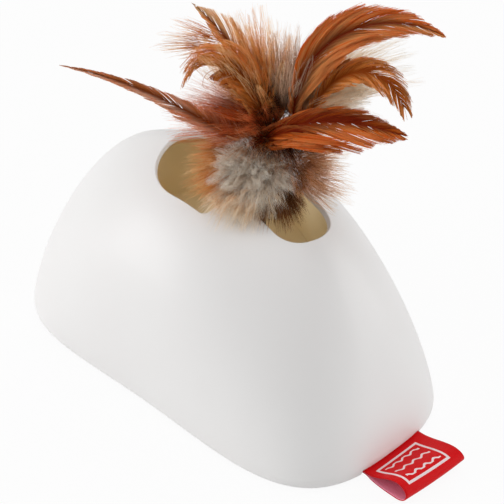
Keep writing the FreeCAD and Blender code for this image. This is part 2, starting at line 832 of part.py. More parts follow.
door = doc.addObject("PartDesign::Body", "Door")
side = new_sketch(door, "XZ_Plane")
side.addGeometry(Part.LineSegment(V(0, 1), V(50, 1)), False)
side.addGeometry(Part.LineSegment(V(50, 1), V(50, -1)), False)
side.addGeometry(Part.LineSegment(V(50, -1), V(0, -1)), False)
side.addGeometry(Part.ArcOfCircle(Part.Circle(V(), V(0, 0, 1), 1), math.pi / 2, 3 * math.pi / 2), False)
side.addConstraint(Sketcher.Constraint("Coincident", 0, 2, 1, 1))
side.addConstraint(Sketcher.Constraint("Coincident", 1, 2, 2, 1))
side.addConstraint(Sketcher.Constraint("Tangent", 0, 1, 3, 1))
side.addConstraint(Sketcher.Constraint("Tangent", 2, 2, 3, 2))
side.addConstraint(Sketcher.Constraint("Coincident", 3, 3, -1, 1))
side.addConstraint(Sketcher.Constraint("Horizontal", 0))
side.addConstraint(Sketcher.Constraint("Vertical", 1))
limit(side, "round", "door_thick / 2", "Radius", 3, 1.0)
limit(side, "reach", "door_end - hinge_x", "DistanceX", -1, 1, 1, 1, 50.0)
door_plate = door.newObject("PartDesign::Pad", "DoorPlate")
door_plate.Profile = side
door_plate.Midplane = True
bind(door_plate, Length="2 * door_half")
doc.recompute()
pin = new_sketch(door, "XZ_Plane")
pin.addGeometry(Part.Circle(V(), V(0, 0, 1), 0.5), False)
pin.addConstraint(Sketcher.Constraint("Coincident", 0, 3, -1, 1))
limit(pin, "pin", "door_pin_radius", "Radius", 0, 0.5)
door_pins = door.newObject("PartDesign::Pad", "DoorPins")
door_pins.Profile = pin
door_pins.Midplane = True
bind(door_pins, Length="2 * (door_half + door_gap + door_pin_reach)")
doc.recompute()
grip = new_sketch(door, "XY_Plane")
centred_rectangle(grip, "grip_pitch / 2", "grip_width")
bind(grip, **{"AttachmentOffset.Base.x": "door_end - hinge_x - 2 * grip_pitch",
              "AttachmentOffset.Base.z": "-door_thick / 2"})
groove = door.newObject("PartDesign::Pocket", "GripGroove")
groove.Profile = grip
groove.Reversed = True
bind(groove, Length="grip_depth")
doc.recompute()
ribs = door.newObject("PartDesign::LinearPattern", "GripGrooves")
ribs.Originals = [groove]
ribs.Direction = (grip, ["H_Axis"])
ribs.Reversed = True
bind(ribs, Length="grip_pitch * (grip_ribs - 1)", Occurrences="grip_ribs")
door.Tip = ribs
place(door, "hinge_x", 0, "hinge_z")
node("battery_door", door)

# Cells, side by side, with every second one turned round

def cell(row):
    """One cell with its raised end."""
    across = "%d * cell_pitch" % row
    if row % 2:
        start = "well_end - contact_thick - cell_nub - cell_body"
        nub = ("well_end - contact_thick - cell_nub", "well_end - contact_thick")
    else:
        start = "well_start + contact_thick + cell_nub"
        nub = ("well_start + contact_thick", "well_start + contact_thick + cell_nub")
    can = rod("x", "cell_radius", (start, start + " + cell_body"), 0, across, "cell_z")
    return fuse(can, rod("x", "cell_nub_radius", nub, 0, across, "cell_z"))


node("battery_cells", group(*[cell(row) for row in (-1, 0, 1)]))

# Contacts: flat plates in the well's end walls, two of them bridging neighbouring cells

def contact(end, first, last):
    """A contact plate that serves the cells from the first row to the last."""
    ends = ("well_end - contact_thick", "well_end") if end > 0 else ("well_start", "well_start + contact_thick")
    across = ("%d * cell_pitch - contact_width / 2" % first, "%d * cell_pitch + contact_width / 2" % last)
    return box(ends, across, ("cell_z - contact_height / 2", "cell_z + contact_height / 2"))


def leaf_spring(end, row):
    """A bowed leaf between a contact plate and a cell's flat end."""
    middle = "well_end - contact_thick - leaf_reach + leaf_radius" if end > 0 else \
        "well_start + contact_thick + leaf_reach - leaf_radius"
    across = ("%d * cell_pitch - spring_width / 2" % row, "%d * cell_pitch + spring_width / 2" % row)
    bow = cut(rod("y", "leaf_radius", across, middle, 0, "cell_z"),
              rod("y", "leaf_radius - contact_thick", across, middle, 0, "cell_z"))
    ends = ("well_end - contact_thick - spring_reach", "well_end - contact_thick") if end > 0 else \
        ("well_start + contact_thick", "well_start + contact_thick + spring_reach")
    return common(bow, box(ends, across, ("cell_z - leaf_radius", "cell_z + leaf_radius")))


node("battery_contacts", group(contact(1, -1, -1), contact(1, 0, 1), contact(-1, -1, 0), contact(-1, 1, 1)))
node("battery_springs", group(leaf_spring(-1, -1), leaf_spring(1, 0), leaf_spring(-1, 1)))

# Slide switch: a body on the plate and a knob that slides along X under it

switch_block = box(("switch_x - switch_length / 2", "switch_x + switch_length / 2"),
                   ("switch_y - switch_width / 2", "switch_y + switch_width / 2"),
                   ("plate_thick", "plate_thick + switch_height"))
switch_room = box(("knob_x - flange_length - knob_play", "knob_x + switch_travel + flange_length + knob_play"),
                  ("switch_y - flange_width - knob_play", "switch_y + flange_width + knob_play"),
                  ("plate_thick", "flange_high + knob_play"))
node("power_switch_body", cut(switch_block, switch_room))
knob_stem = box(("knob_x - knob_length / 2", "knob_x + knob_length / 2"),
                ("switch_y - knob_width / 2", "switch_y + knob_width / 2"), ("knob_recess", "flange_high"))
knob_flange = box(("knob_x - flange_length", "knob_x + flange_length"),
                  ("switch_y - flange_width", "switch_y + flange_width"), ("plate_thick + knob_play", "flange_high"))
knob_groove = box(("knob_x - knob_flange / 2", "knob_x + knob_flange / 2"),
                  ("switch_y - knob_width / 2", "switch_y + knob_width / 2"),
                  ("knob_recess", "knob_recess + knob_flange"))
node("power_switch_knob", cut(fuse(knob_stem, knob_flange), knob_groove))

# Gear teeth

def involute(angle):
    """The involute of an angle in radians."""
    return math.tan(angle) - angle


def tooth_ring(module, teeth, shift, phase, first=None, last=None):
    """A wheel's toothed outline in the XZ plane, or a sector of it when its ends are given."""
    pitch = module * teeth / 2
    press = math.radians(D.pressure_angle)
    base = pitch * math.cos(press)
    root = pitch - module * (1.25 - shift)
    tip = pitch + module * (1 + shift - max(shift, 0) / 2)
    half = math.pi / 2 / teeth + 2 * shift * math.tan(press) / teeth - D.tooth_play / 4 / pitch
    radii = [tip + (max(base, root) - tip) * step / 3 for step in range(4)]
    flank = [(r, half + involute(press) - involute(math.acos(min(1, base / r)))) for r in radii]
    if root < base:
        flank.append((root, flank[-1][1]))
    points = []
    for tooth in range(int(teeth)):
        middle = phase + 360 * tooth / teeth
        if first is not None:
            middle = (middle - first) % 360 + first
            if middle > last:
                continue
        turn = math.radians(middle)
        outline_points = [(r, turn - a) for r, a in reversed(flank)] + [(r, turn + a) for r, a in flank]
        points.append((middle, [V(r * math.cos(a), 0, r * math.sin(a)) for r, a in outline_points]))
    corners = [point for middle, tooth in sorted(points, key=lambda item: item[0]) for point in tooth]
    if first is not None:
        corners.append(V())
    return Part.Face(Part.makePolygon(corners + corners[:1]))


def toothed(name, face, ends, x, z):
    """A toothed outline pushed along Y and set on its centre."""
    item = prism(name, face, "y", ends)
    return place(item, x, ends[0], z)


def wheel(name, module, teeth, shift, phase, ends, x, z):
    """A spur wheel."""
    return toothed(name, tooth_ring(module, teeth, shift, phase), ends, x, z)


# Drive arm: hub, tooth sector, lever and socket in one moulding, turning on a steel shaft

sector_first = D.second_bearing - D.swing_back - D.sector_spare
sector_last = D.second_bearing + D.swing_forward + D.sector_spare
sector_face = tooth_ring(D.arm_module, D.sector_teeth, -D.tooth_shift, D.second_bearing, sector_first, sector_last)
sector_ends = ("-arm_half_thick", "arm_half_thick")
sector = toothed("Sector", sector_face, sector_ends, "pivot_x", "pivot_z")


def sector_window():
    """The window between the sector's hub, rim and two spokes."""
    pitch = D.arm_module * D.sector_teeth / 2
    outer = pitch - D.sector_rim
    inner = D.hub_radius + D.sector_rim / 2
    spoke = math.degrees(D.sector_spoke / outer)
    inner_spoke = math.degrees(D.sector_spoke / inner)
    far = [sector_first + spoke, sector_last - spoke]
    near = [sector_first + inner_spoke, sector_last - inner_spoke]
    edges = [arc(0, 0, outer, far[0], far[1], "y"), arc(0, 0, inner, near[1], near[0], "y")]
    ends = [[edge.valueAt(edge.FirstParameter), edge.valueAt(edge.LastParameter)] for edge in edges]
    edges.append(Part.makeLine(ends[0][1], ends[1][0]))
    edges.append(Part.makeLine(ends[1][1], ends[0][0]))
    return Part.Face(Part.Wire(Part.__sortEdges__(edges)))


window = toothed("SectorWindow", sector_window(), sector_ends, "pivot_x", "pivot_z")
lever_rounds = [(D.pivot_x, D.pivot_z, D.lever_low / 2), (D.pivot_x, D.socket_low, D.lever_high / 2)]
lever = prism("Lever", hull(lever_rounds, "y"), "y", sector_ends)
hub = rod("y", "hub_radius", ("near_high + end_play", "cover_low - end_play"), "pivot_x", 0, "pivot_z")
socket = rod("z", "socket_radius", ("socket_low", "socket_high"), "pivot_x")
taper = cone("z", ("arm_half_thick", "socket_radius"), ("socket_low - socket_taper", "socket_low"), "pivot_x")
arm_bore = rod("y", "shaft_radius", ("near_high", "cover_low"), "pivot_x", 0, "pivot_z")
rod_bore = rod("z", "wand_radius", ("socket_high - socket_depth", "socket_high"), "pivot_x")
node("drive_arm", cut(fuse(cut(sector, window), lever, hub, socket, taper), arm_bore, rod_bore))
node("arm_shaft", rod("y", "shaft_radius", ("near_low - shaft_spare", "cover_high + shaft_spare"),
                      "pivot_x", 0, "pivot_z"))
node("wand_rod", rod("z", "wand_radius", ("socket_high - socket_depth", "wand_top"), "pivot_x"))

# Ferrule: a crimped cap over the end of the wand

def crimp(row):
    """A plain groove rolled into the ferrule."""
    middle = "ferrule_low + %d * crimp_pitch" % row
    ends = (middle + " - crimp_radius", middle + " + crimp_radius")
    return cut(rod("z", "ferrule_radius + crimp_radius", ends, "pivot_x"),
               rod("z", "ferrule_radius - crimp_radius / 2", ends, "pivot_x"))


ferrule_tube = rod("z", "ferrule_radius", ("ferrule_low", "ferrule_high"), "pivot_x")
ferrule_bore = rod("z", "wand_radius", ("ferrule_low", "wand_top"), "pivot_x")
node("feather_ferrule", cut(ferrule_tube, ferrule_bore, *[crimp(row) for row in (1, 2)]))

# Gear train: each wheel has a tooth on the line of centres, and each pinion a gap there

def half_tooth(teeth):
    """Half the angle from tooth to tooth."""
    return 180 / teeth


def gear_bore(x, z):
    """The running bore of a gear on its pin."""
    return rod("y", "pin_radius + running_gap", ("near_low", "cover_high"), x, 0, z)


second_pinion = wheel("SecondPinion", D.arm_module, D.second_pinion_teeth, D.tooth_shift,
                      D.second_bearing + 180 + half_tooth(D.second_pinion_teeth),
                      ("-arm_half_thick", "wheel_low"), "second_x", "second_z")
second_wheel = wheel("SecondWheel", D.middle_module, D.second_wheel_teeth, -D.tooth_shift,
                     D.first_bearing, ("wheel_low", "wheel_high"), "second_x", "second_z")
second_hub = rod("y", "gear_hub", ("near_high + end_play", "cover_low - end_play"), "second_x", 0, "second_z")
node("second_gear", cut(fuse(second_pinion, second_wheel, second_hub), gear_bore("second_x", "second_z")))
first_pinion = wheel("FirstPinion", D.middle_module, D.first_pinion_teeth, D.tooth_shift,
                     D.first_bearing + 180 + half_tooth(D.first_pinion_teeth),
                     ("wheel_low", "small_low"), "first_x", "first_z")
first_wheel = wheel("FirstWheel", D.motor_module, D.first_wheel_teeth, -D.tooth_shift,
                    D.motor_bearing, ("small_low", "small_high"), "first_x", "first_z")
first_hub = rod("y", "gear_hub", ("wheel_low", "cover_low - end_play"), "first_x", 0, "first_z")
node("first_gear", cut(fuse(first_pinion, first_wheel, first_hub), gear_bore("first_x", "first_z")))
motor_pinion = wheel("MotorPinion", D.motor_module, D.motor_pinion_teeth, D.tooth_shift,
                     D.motor_bearing + 180 + half_tooth(D.motor_pinion_teeth),
                     ("small_low - motor_pinion_over", "small_high + motor_pinion_over"), "motor_x", "motor_z")
shaft_ends = ("motor_rear - motor_boss", "small_high + motor_pinion_over")
node("motor_pinion", cut(motor_pinion, rod("y", "motor_shaft_radius", shaft_ends, "motor_x", 0, "motor_z")))
node("motor_shaft", rod("y", "motor_shaft_radius", shaft_ends, "motor_x", 0, "motor_z"))
pin_ends = ("near_low", "cover_high")
node("second_gear_pin", rod("y", "pin_radius", pin_ends, "second_x", 0, "second_z"))
node("first_gear_pin", rod("y", "pin_radius", pin_ends, "first_x", 0, "first_z"))

# Gear frame: slab, near side plate, motor wall, motor saddles, strap bosses and stays

near_rounds = [
    (D.low_stay_x, D.low_stay_z, D.stay_edge),
    (D.second_x, D.low_stay_z, D.stay_edge),
    (D.first_x, D.first_z, D.pin_boss_radius),
    (D.top_stay_x, D.top_stay_z, D.stay_edge),
    (D.pivot_x, D.pivot_z, D.bearing_radius),
]
near_plate = prism("NearPlate", hull(near_rounds, "y"), "y", ("near_low", "near_high"))
near_foot = box(("low_stay_x", "second_x"), ("near_low", "near_high"), ("frame_top", "low_stay_z"))
wall_rounds = [
    (D.far_stay_x, D.frame_low + D.stay_edge, D.stay_edge),
    (D.wall_end - D.stay_edge, D.frame_low + D.stay_edge, D.stay_edge),
    (D.wall_end - D.stay_edge, D.motor_z, D.stay_edge),
    (D.far_stay_x, D.far_stay_z, D.stay_edge),
]
motor_wall = prism("MotorWall", hull(wall_rounds, "y"), "y", ("motor_face", "motor_face + side_thick"))
slab = box(("frame_start", "frame_end"), ("frame_near", "frame_far"), ("frame_low", "frame_top"))


def saddle(start):
    """A block under the motor's flat side."""
    return box(("motor_x - saddle_half_length", "motor_x + saddle_half_length"),
               (start, start + " + saddle_width"), ("frame_top", "motor_bed"))


def strap_boss(side_sign):
    """A post for one foot of the motor strap."""
    return rod("z", "stay_radius", ("frame_top", "strap_foot_top - strap_thick"),
               "motor_x %s strap_screw_x" % side_sign, "strap_low + strap_width / 2")


STAYS = (
    ("near_high", "low_stay_x", "low_stay_z"),
    ("near_high", "top_stay_x", "top_stay_z"),
    ("motor_face", "far_stay_x", "low_stay_z"),
    ("motor_face", "far_stay_x", "far_stay_z"),
)
stays = [rod("y", "stay_radius", (start, "cover_low"), x, 0, z) for start, x, z in STAYS]
saddles = [saddle("motor_rear + saddle_inset"), saddle("motor_face - saddle_inset - saddle_width")]
first_boss = rod("y", "pin_boss_radius", ("near_low", "wheel_low - end_play"), "first_x", 0, "first_z")
frame_body = fuse(slab, near_plate, near_foot, motor_wall, first_boss, strap_boss("-"), strap_boss("+"),
                  *stays, *saddles)
motor_room = rod("y", "motor_radius + strap_gap", ("motor_rear", "motor_face"), "motor_x", 0, "motor_z")
motor_flat = box(("motor_x - motor_radius - 1", "motor_x + motor_radius + 1"), ("motor_rear", "motor_face"),
                 ("motor_bed", "motor_z + motor_radius"))
boss_hole = rod("y", "motor_boss_radius + running_gap", ("motor_face", "small_low"), "motor_x", 0, "motor_z")
near_bush_hole = rod("y", "bush_radius", ("near_low", "near_high"), "pivot_x", 0, "pivot_z")
second_pin_hole = rod("y", "pin_radius", ("near_low", "near_high"), "second_x", 0, "second_z")
first_pin_hole = rod("y", "pin_radius", ("near_low", "wheel_low"), "first_x", 0, "first_z")
stay_bores = [rod("y", "small_screw_radius", ("cover_high - small_screw_length", "cover_low"), x, 0, z)
              for start, x, z in STAYS]
strap_bores = [rod("z", "small_screw_radius", ("strap_foot_top - small_screw_length", "strap_foot_top"),
                   "motor_x %s strap_screw_x" % side_sign, "strap_low + strap_width / 2") for side_sign in "-+"]
slab_holes = [rod("z", "small_screw_radius + hole_gap", ("frame_low", "frame_top"), x, y) for x, y in frame_spots()]
node("gear_frame", cut(frame_body, common(motor_room, motor_flat), boss_hole, near_bush_hole, second_pin_hole,
                       first_pin_hole, *stay_bores, *strap_bores, *slab_holes))

# Gear cover: the far side plate, screwed to the stays

cover_rounds = [
    (D.low_stay_x, D.low_stay_z, D.stay_edge),
    (D.far_stay_x, D.low_stay_z, D.stay_edge),
    (D.far_stay_x, D.far_stay_z, D.stay_edge),
    (D.top_stay_x, D.top_stay_z, D.stay_edge),
    (D.pivot_x, D.pivot_z, D.bearing_radius),
]
cover_plate = prism("CoverPlate", hull(cover_rounds, "y"), "y", ("cover_low", "cover_high"))
cover_holes = [rod("y", "small_screw_radius + hole_gap", ("cover_low", "cover_high"), x, 0, z)
               for start, x, z in STAYS]
cover_holes.append(rod("y", "bush_radius", ("cover_low", "cover_high"), "pivot_x", 0, "pivot_z"))
cover_holes += [rod("y", "pin_radius", ("cover_low", "cover_high"), x, 0, z)
                for x, z in (("second_x", "second_z"), ("first_x", "first_z"))]
node("gear_cover", cut(cover_plate, *cover_holes))
node("gear_screws", group(*[small_screw("y", "cover_high", "+", x, 0, z) for start, x, z in STAYS]))

# Bushes: flanged brass sleeves for the arm's shaft, one in each side plate

def bush(seat, flange):
    """A sleeve in a side plate with its flange on the outer face."""
    body = fuse(rod("y", "bush_radius", seat, "pivot_x", 0, "pivot_z"),
                rod("y", "flange_radius", flange, "pivot_x", 0, "pivot_z"))
    whole = ("near_low - flange_thick", "cover_high + flange_thick")
    return cut(body, rod("y", "shaft_radius + running_gap", whole, "pivot_x", 0, "pivot_z"))


node("shaft_bushes", group(bush(("near_low", "near_high"), ("near_low - flange_thick", "near_low")),
                           bush(("cover_low", "cover_high"), ("cover_high", "cover_high + flange_thick"))))

# Motor: a round can with two flats, a boss at each end and two terminals

can_round = rod("y", "motor_radius", ("motor_rear", "motor_face"), "motor_x", 0, "motor_z")
can_flats = box(("motor_x - motor_radius", "motor_x + motor_radius"), ("motor_rear", "motor_face"),
                ("motor_bed", "motor_bed + motor_height"))
front_boss = rod("y", "motor_boss_radius", ("motor_face", "motor_face + motor_boss"), "motor_x", 0, "motor_z")
rear_boss = rod("y", "motor_boss_radius", ("motor_rear - motor_boss", "motor_rear"), "motor_x", 0, "motor_z")


def terminal(side_sign):
    """One of the motor's solder tags."""
    middle = "motor_x %s terminal_offset" % side_sign
    return box((middle + " - terminal_width / 2", middle + " + terminal_width / 2"),
               ("motor_rear - terminal_reach", "motor_rear"),
               ("motor_z - contact_thick / 2", "motor_z + contact_thick / 2"))


can_body = fuse(common(can_round, can_flats), front_boss, rear_boss, terminal("-"), terminal("+"))
node("motor_can", cut(can_body, rod("y", "motor_shaft_radius + running_gap", shaft_ends, "motor_x", 0, "motor_z")))

# Motor strap: a bent band over the can with a screwed foot on each side

strap_ends = ("strap_low", "strap_low + strap_width")
strap_top = "motor_bed + motor_height + strap_gap"
strap_bottom = "strap_foot_top - strap_thick"


def strap_layer(radius, top):
    """The band's outer or inner form: a bend with a flat top, and straight legs."""
    bend = common(rod("y", radius, strap_ends, "motor_x", 0, "motor_z"),
                  box(("motor_x - " + radius, "motor_x + " + radius), strap_ends, ("motor_z", top)))
    legs = box(("motor_x - " + radius, "motor_x + " + radius), strap_ends, (strap_bottom, "motor_z"))
    return fuse(bend, legs)


def strap_foot(side_sign):
    """One foot of the strap, with its screw hole."""
    if side_sign == "-":
        ends = ("motor_x - strap_outer - strap_foot", "motor_x - strap_inner")
    else:
        ends = ("motor_x + strap_inner", "motor_x + strap_outer + strap_foot")
    return box(ends, strap_ends, (strap_bottom, "strap_foot_top"))


strap_holes = [rod("z", "small_screw_radius + hole_gap", (strap_bottom, "strap_foot_top"),
                   "motor_x %s strap_screw_x" % side_sign, "strap_low + strap_width / 2") for side_sign in "-+"]
band = cut(strap_layer("strap_outer", strap_top + " + strap_thick"), strap_layer("strap_inner", strap_top))
node("motor_strap", cut(fuse(band, strap_foot("-"), strap_foot("+")), *strap_holes))
node("strap_screws", group(*[small_screw("z", "strap_foot_top", "+", "motor_x %s strap_screw_x" % side_sign,
                                         "strap_low + strap_width / 2") for side_sign in "-+"]))

# What stands on the board: control chip, capacitors, coil, resistors and three lead sockets

def chip(x, y, length, width, height):
    """A rectangular component on the board, placed from the board's centre."""
    return box(("board_x + %g" % (x - length / 2), "board_x + %g" % (x + length / 2)),
               ("%g" % (y - width / 2), "%g" % (y + width / 2)), ("board_top", "board_top + %g" % height))


def can(x, y, radius, height):
    """A round component on the board, placed from the board's centre."""
    return rod("z", "%g" % radius, ("board_top", "board_top + %g" % height), "board_x + %g" % x, "%g" % y)


def plug(x, y):
    """A lead socket on the board."""
    return box(("board_x + %s - plug_length / 2" % x, "board_x + %s + plug_length / 2" % x),
               ("%s - plug_width / 2" % y, "%s + plug_width / 2" % y), ("board_top", "board_top + plug_height"))


PLUGS = (("board_half_length / 2", "-plug_inset"), ("-board_half_length / 2", "-cell_pitch / 2"),
         ("board_half_length / 2", "plug_inset"))
resistors = [chip(8, -6 + 3 * row, 3.2, 1.6, 0.9) for row in range(4)]
node("board_components", group(chip(0, 0.5, 9.9, 6.0, 1.6), can(-3, -11, 3.2, 7.0), can(-1, 9, 2.5, 5.4),
                               *resistors, *[plug(x, y) for x, y in PLUGS]))

# Vibration sensor: a small can with a sprung contact inside, lying on two legs

sensor_x = "board_x - board_half_length / 2"
sensor_z = "board_top + sensor_radius + spring_play"
sensor_y = ("sensor_near", "sensor_far")
leg_x = (sensor_x + " - contact_thick", sensor_x + " + contact_thick")
leg_spots = (("sensor_far", "sensor_far + 2 * contact_thick"), ("sensor_near - 2 * contact_thick", "sensor_near"))
legs = [box(leg_x, ends, ("board_top", sensor_z + " + contact_thick")) for ends in leg_spots]
node("vibration_sensor", fuse(rod("y", "sensor_radius", sensor_y, sensor_x, 0, sensor_z), *legs))

# Leads: round wires along straight runs joined by tangent arcs

ARC_SHARE = 0.45
LEAD_SIDES = 8


def lead_section(centre, ahead):
    """The lead's eight-sided section at its start, square to its first run."""
    across = ahead.cross(V(0.3, 0.2, 1)).normalize()
    above = across.cross(ahead).normalize()
    turns = [2 * math.pi * side / LEAD_SIDES for side in range(LEAD_SIDES)]
    corners = [centre + (across * math.cos(t) + above * math.sin(t)) * D.lead_radius for t in turns]
    return Part.makePolygon(corners + corners[:1])


def lead(points):
    """A wire through the points, each corner rounded as wide as its runs allow."""
    points = [V(*point) for point in points]
    edges = []
    radii = []
    start = points[0]
    for before, corner, after in zip(points, points[1:], points[2:]):
        into = (corner - before).normalize()
        out = (after - corner).normalize()
        turn = into.getAngle(out)
        reach = ARC_SHARE * min((corner - before).Length, (after - corner).Length)
        radius = reach / math.tan(turn / 2)
        first, last = corner - into * reach, corner + out * reach
        inward = (out - into).normalize()
        middle = corner + inward * (radius / math.cos(turn / 2) - radius)
        edges.append(Part.makeLine(start, first))
        edges.append(Part.Arc(first, middle, last).toShape())
        radii.append(radius)
        start = last
    edges.append(Part.makeLine(start, points[-1]))
    path = Part.Wire(edges)
    ring = lead_section(points[0], (points[1] - points[0]).normalize())
    wire = path.makePipeShell([ring], True, False)
    expected = Part.Face(ring).Area * path.Length
    print("lead %.1f mm, volume %.4f of the expected, radii" % (path.Length, wire.Volume / expected),
          " ".join("%.1f" % radius for radius in radii))
    return form("Lead", wire)


TWIN_GAP = 1.9
socket_z = D.board_top + D.plug_height / 2
motor_socket = (D.board_x + D.board_half_length / 2 + D.plug_length / 2, -D.plug_inset, socket_z)
battery_socket = (D.board_x - D.board_half_length / 2 - D.plug_length / 2, -D.cell_pitch / 2, socket_z)
switch_socket = (D.board_x + D.board_half_length / 2, D.plug_inset + D.plug_width / 2, socket_z)
terminal_end = D.motor_rear - D.terminal_reach


def motor_lead(side_sign, twin):
    """A lead from a motor terminal, round the gear frame, to the board."""
    x = D.motor_x + side_sign * D.terminal_offset
    end_x, end_y, end_z = motor_socket
    end_y += TWIN_GAP / 2 - twin
    return lead([
        (x, terminal_end, D.motor_z),
        (x, terminal_end - 3, D.motor_z),
        (x - 4, D.frame_near - 5 - twin / 2, D.motor_z - 9),
        (D.motor_x - 14, D.frame_near - 5 - twin, 18),
        (D.motor_x - 29, D.frame_near - 4 - twin, 12.5),
        (D.motor_x - 46, D.frame_near - 3 - twin, 13.5),
        (end_x + 9, end_y - 1.5, end_z + 0.6),
        (end_x + 4, end_y, end_z),
        (end_x, end_y, end_z),
    ])


def battery_lead_near():
    """The lead from the contact beside the board."""
    x, y, z = battery_socket
    y -= TWIN_GAP / 2
    return lead([
        (D.well_end, -D.cell_pitch, D.cell_z + 4),
        (D.well_end + 3.4, -D.cell_pitch, D.cell_z + 4),
        (x - 3, y, z),
        (x, y, z),
    ])


def battery_lead_far():
    """The lead from the far contact, over the top of the well."""
    x, y, z = battery_socket
    y += TWIN_GAP / 2
    roof = D.well_top + D.well_wall + 1.6
    return lead([
        (D.well_start, D.cell_pitch, D.cell_z + 4),
        (D.well_start - 4.2, D.cell_pitch, D.cell_z + 4),
        (D.well_start - 4.6, D.cell_pitch - 1, roof - 0.4),
        (D.well_start + 4, D.cell_pitch - 2.5, roof),
        (D.well_start + 18, D.cell_pitch - 6, roof + 0.3),
        (D.well_end - 20, D.cell_pitch - 12, roof),
        (D.well_end - 7, y + 4.5, roof + 0.4),
        (D.well_end + 2.8, y + 1.6, roof + 0.2),
        (x - 3, y + 0.4, z + 1.8),
        (x - 1.6, y, z),
        (x, y, z),
    ])


def switch_lead(offset):
    """A lead from the slide switch to the board."""
    x, y, z = switch_socket
    start_y = D.switch_y - D.switch_width / 2
    start_z = D.plate_thick + D.switch_height / 2
    return lead([
        (D.switch_x + offset, start_y, start_z),
        (D.switch_x + offset, start_y - 3.2, start_z),
        ((2 * D.switch_x + x) / 3 + offset, start_y - 6.4, z - 1),
        (x + offset, y + 4, z + 0.8),
        (x + offset, y + 2, z),
        (x + offset, y, z),
    ])


node("motor_leads", group(motor_lead(-1, 0.0), motor_lead(1, TWIN_GAP)))
node("battery_leads", group(battery_lead_near(), battery_lead_far()))
node("switch_leads", group(switch_lead(-TWIN_GAP / 2), switch_lead(TWIN_GAP / 2)))

# Ribbon tag: two tails clamped between shell and base, and a rolled loop outside

def tag_outline(inset):
    """The side view of the loop, a drop with its point at the shell, moved in by the inset."""
    roll = (D.tag_roll_height - D.tag_low) / 2
    root = (D.half_length + D.tag_gap, D.tag_root, D.tag_thick + D.tag_gap / 2 - inset)
    return hull([root, (D.half_length + D.tag_reach - roll, D.tag_low + roll, roll - inset)], "y")


tag_width = ("-tag_half_width", "tag_half_width")
tag_loop = prism("TagOutside", tag_outline(0), "y", tag_width)
tag_loop_room = prism("TagInside", tag_outline(D.tag_thick), "y", tag_width)
tag_tails = box(("tag_inner_end", "half_length + tag_gap"), tag_width, ("tag_floor", "tag_ceiling"))
node("woven_tag", fuse(cut(tag_loop, tag_loop_room), tag_tails))

# Feathers: thin blades along a curling quill, and soft lobes of down round the wand

QUILL_STEPS = 60
BLADE_SECTIONS = 9

# Each quill has its root, heading, rise, curl, sideways turn, length and the power of its curl
QUILLS = (
    ("left_long_feather", (25, -2, 112), 223, 36, -26, -2, 87, 1.62),
    ("left_upper_feather", (24, 1, 116), 200, 85, -53, 1, 65, 1.11),
    ("left_curled_feather", (24, -1, 115), 237, 87, -196, -22, 64, 2.96),
    ("right_upper_feather", (36, 5, 121), 35, 102, -123, -11, 93, 1.11),
    ("right_curled_feather", (34, 5, 118), 36, 75, -144, -49, 83, 1.96),
    ("right_level_feather", (24, -6, 117), 15, 88, -96, 2, 72, 0.41),
    ("short_spike_feather", (24, -7, 116), 8, 74, -107, 3, 48, 1.12),
)


def quill(root, head, rise, curl, yaw, length, curve):
    """Points and directions along a quill, from its root to its tip."""
    point = V(*root)
    line = []
    for step in range(QUILL_STEPS):
        share = (step + 0.5) / QUILL_STEPS
        lift = math.radians(rise + curl * share ** curve)
        turn = math.radians(head + yaw * share)
        ahead = V(math.cos(lift) * math.cos(turn), math.cos(lift) * math.sin(turn), math.sin(lift))
        line.append((V(point), ahead, V(-math.sin(turn), math.cos(turn), 0)))
        point = point + ahead * (length / QUILL_STEPS)
    line.append((V(point), ahead, line[-1][2]))
    return line


def blade(root, head, rise, curl, yaw, length, curve):
    """A feather's solid: flat four-sided sections that swell and run out along the quill."""
    line = quill(root, head, rise, curl, yaw, length, curve)
    wires = []
    for section in range(BLADE_SECTIONS):
        share = section / (BLADE_SECTIONS - 1)
        point, ahead, across = line[round(share * QUILL_STEPS)]
        swell = 0.12 + 0.88 * math.sin(math.pi * min(0.97, share ** 0.7)) ** 0.8
        above = across.cross(ahead).normalize()
        wide = across * (D.hackle_half_width * swell)
        thick = above * (D.hackle_half_thick * (1 - 0.6 * share))
        corners = [point + wide, point + thick, point - wide, point - thick]
        wires.append(Part.makePolygon(corners + corners[:1]))
    return Part.makeLoft(wires, True, True, False)


def round_section(centre, radius, ahead=V(0, 0, 1)):
    """A ring of three arcs, square to the way ahead."""
    return Part.Wire([arc_at(centre, radius, ahead, first) for first in (0, 120, 240)])


def arc_at(centre, radius, ahead, first):
    """A third of a ring."""
    side = ahead.cross(V(1, 0, 0)).normalize() * radius
    other = side.cross(ahead)
    turns = [math.radians(first + step) for step in (0, 60, 120)]
    return Part.Arc(*[centre + side * math.cos(t) + other * math.sin(t) for t in turns]).toShape()


def tuft(rings):
    """A soft tuft through level rings (x, y, z, radius)."""
    return Part.makeLoft([round_section(V(x, y, z), radius) for x, y, z, radius in rings], True, False, False)


def lobe(root, tip, girth):
    """A soft lobe that rises from its root, bends towards its tip and is fattest halfway."""
    way = tip - root
    bend = root + V(LOBE_LEAN * way.x, LOBE_LEAN * way.y, LOBE_RISE * way.z)
    wires = []
    for place, swell in enumerate(LOBE_SWELLS):
        share = place / (len(LOBE_SWELLS) - 1)
        centre = root * (1 - share) ** 2 + bend * (2 * share * (1 - share)) + tip * share ** 2
        ahead = (bend - root) * (1 - share) + (tip - bend) * share
        wires.append(round_section(centre, girth * swell, ahead.normalize()))
    return Part.makeLoft(wires, True, False, False)


# A lobe leans over late: its bend is only this far along its way, level and upright
LOBE_LEAN = 0.2
LOBE_RISE = 0.6
LOBE_SWELLS = (0.45, 0.85, 1.0, 0.8, 0.35)

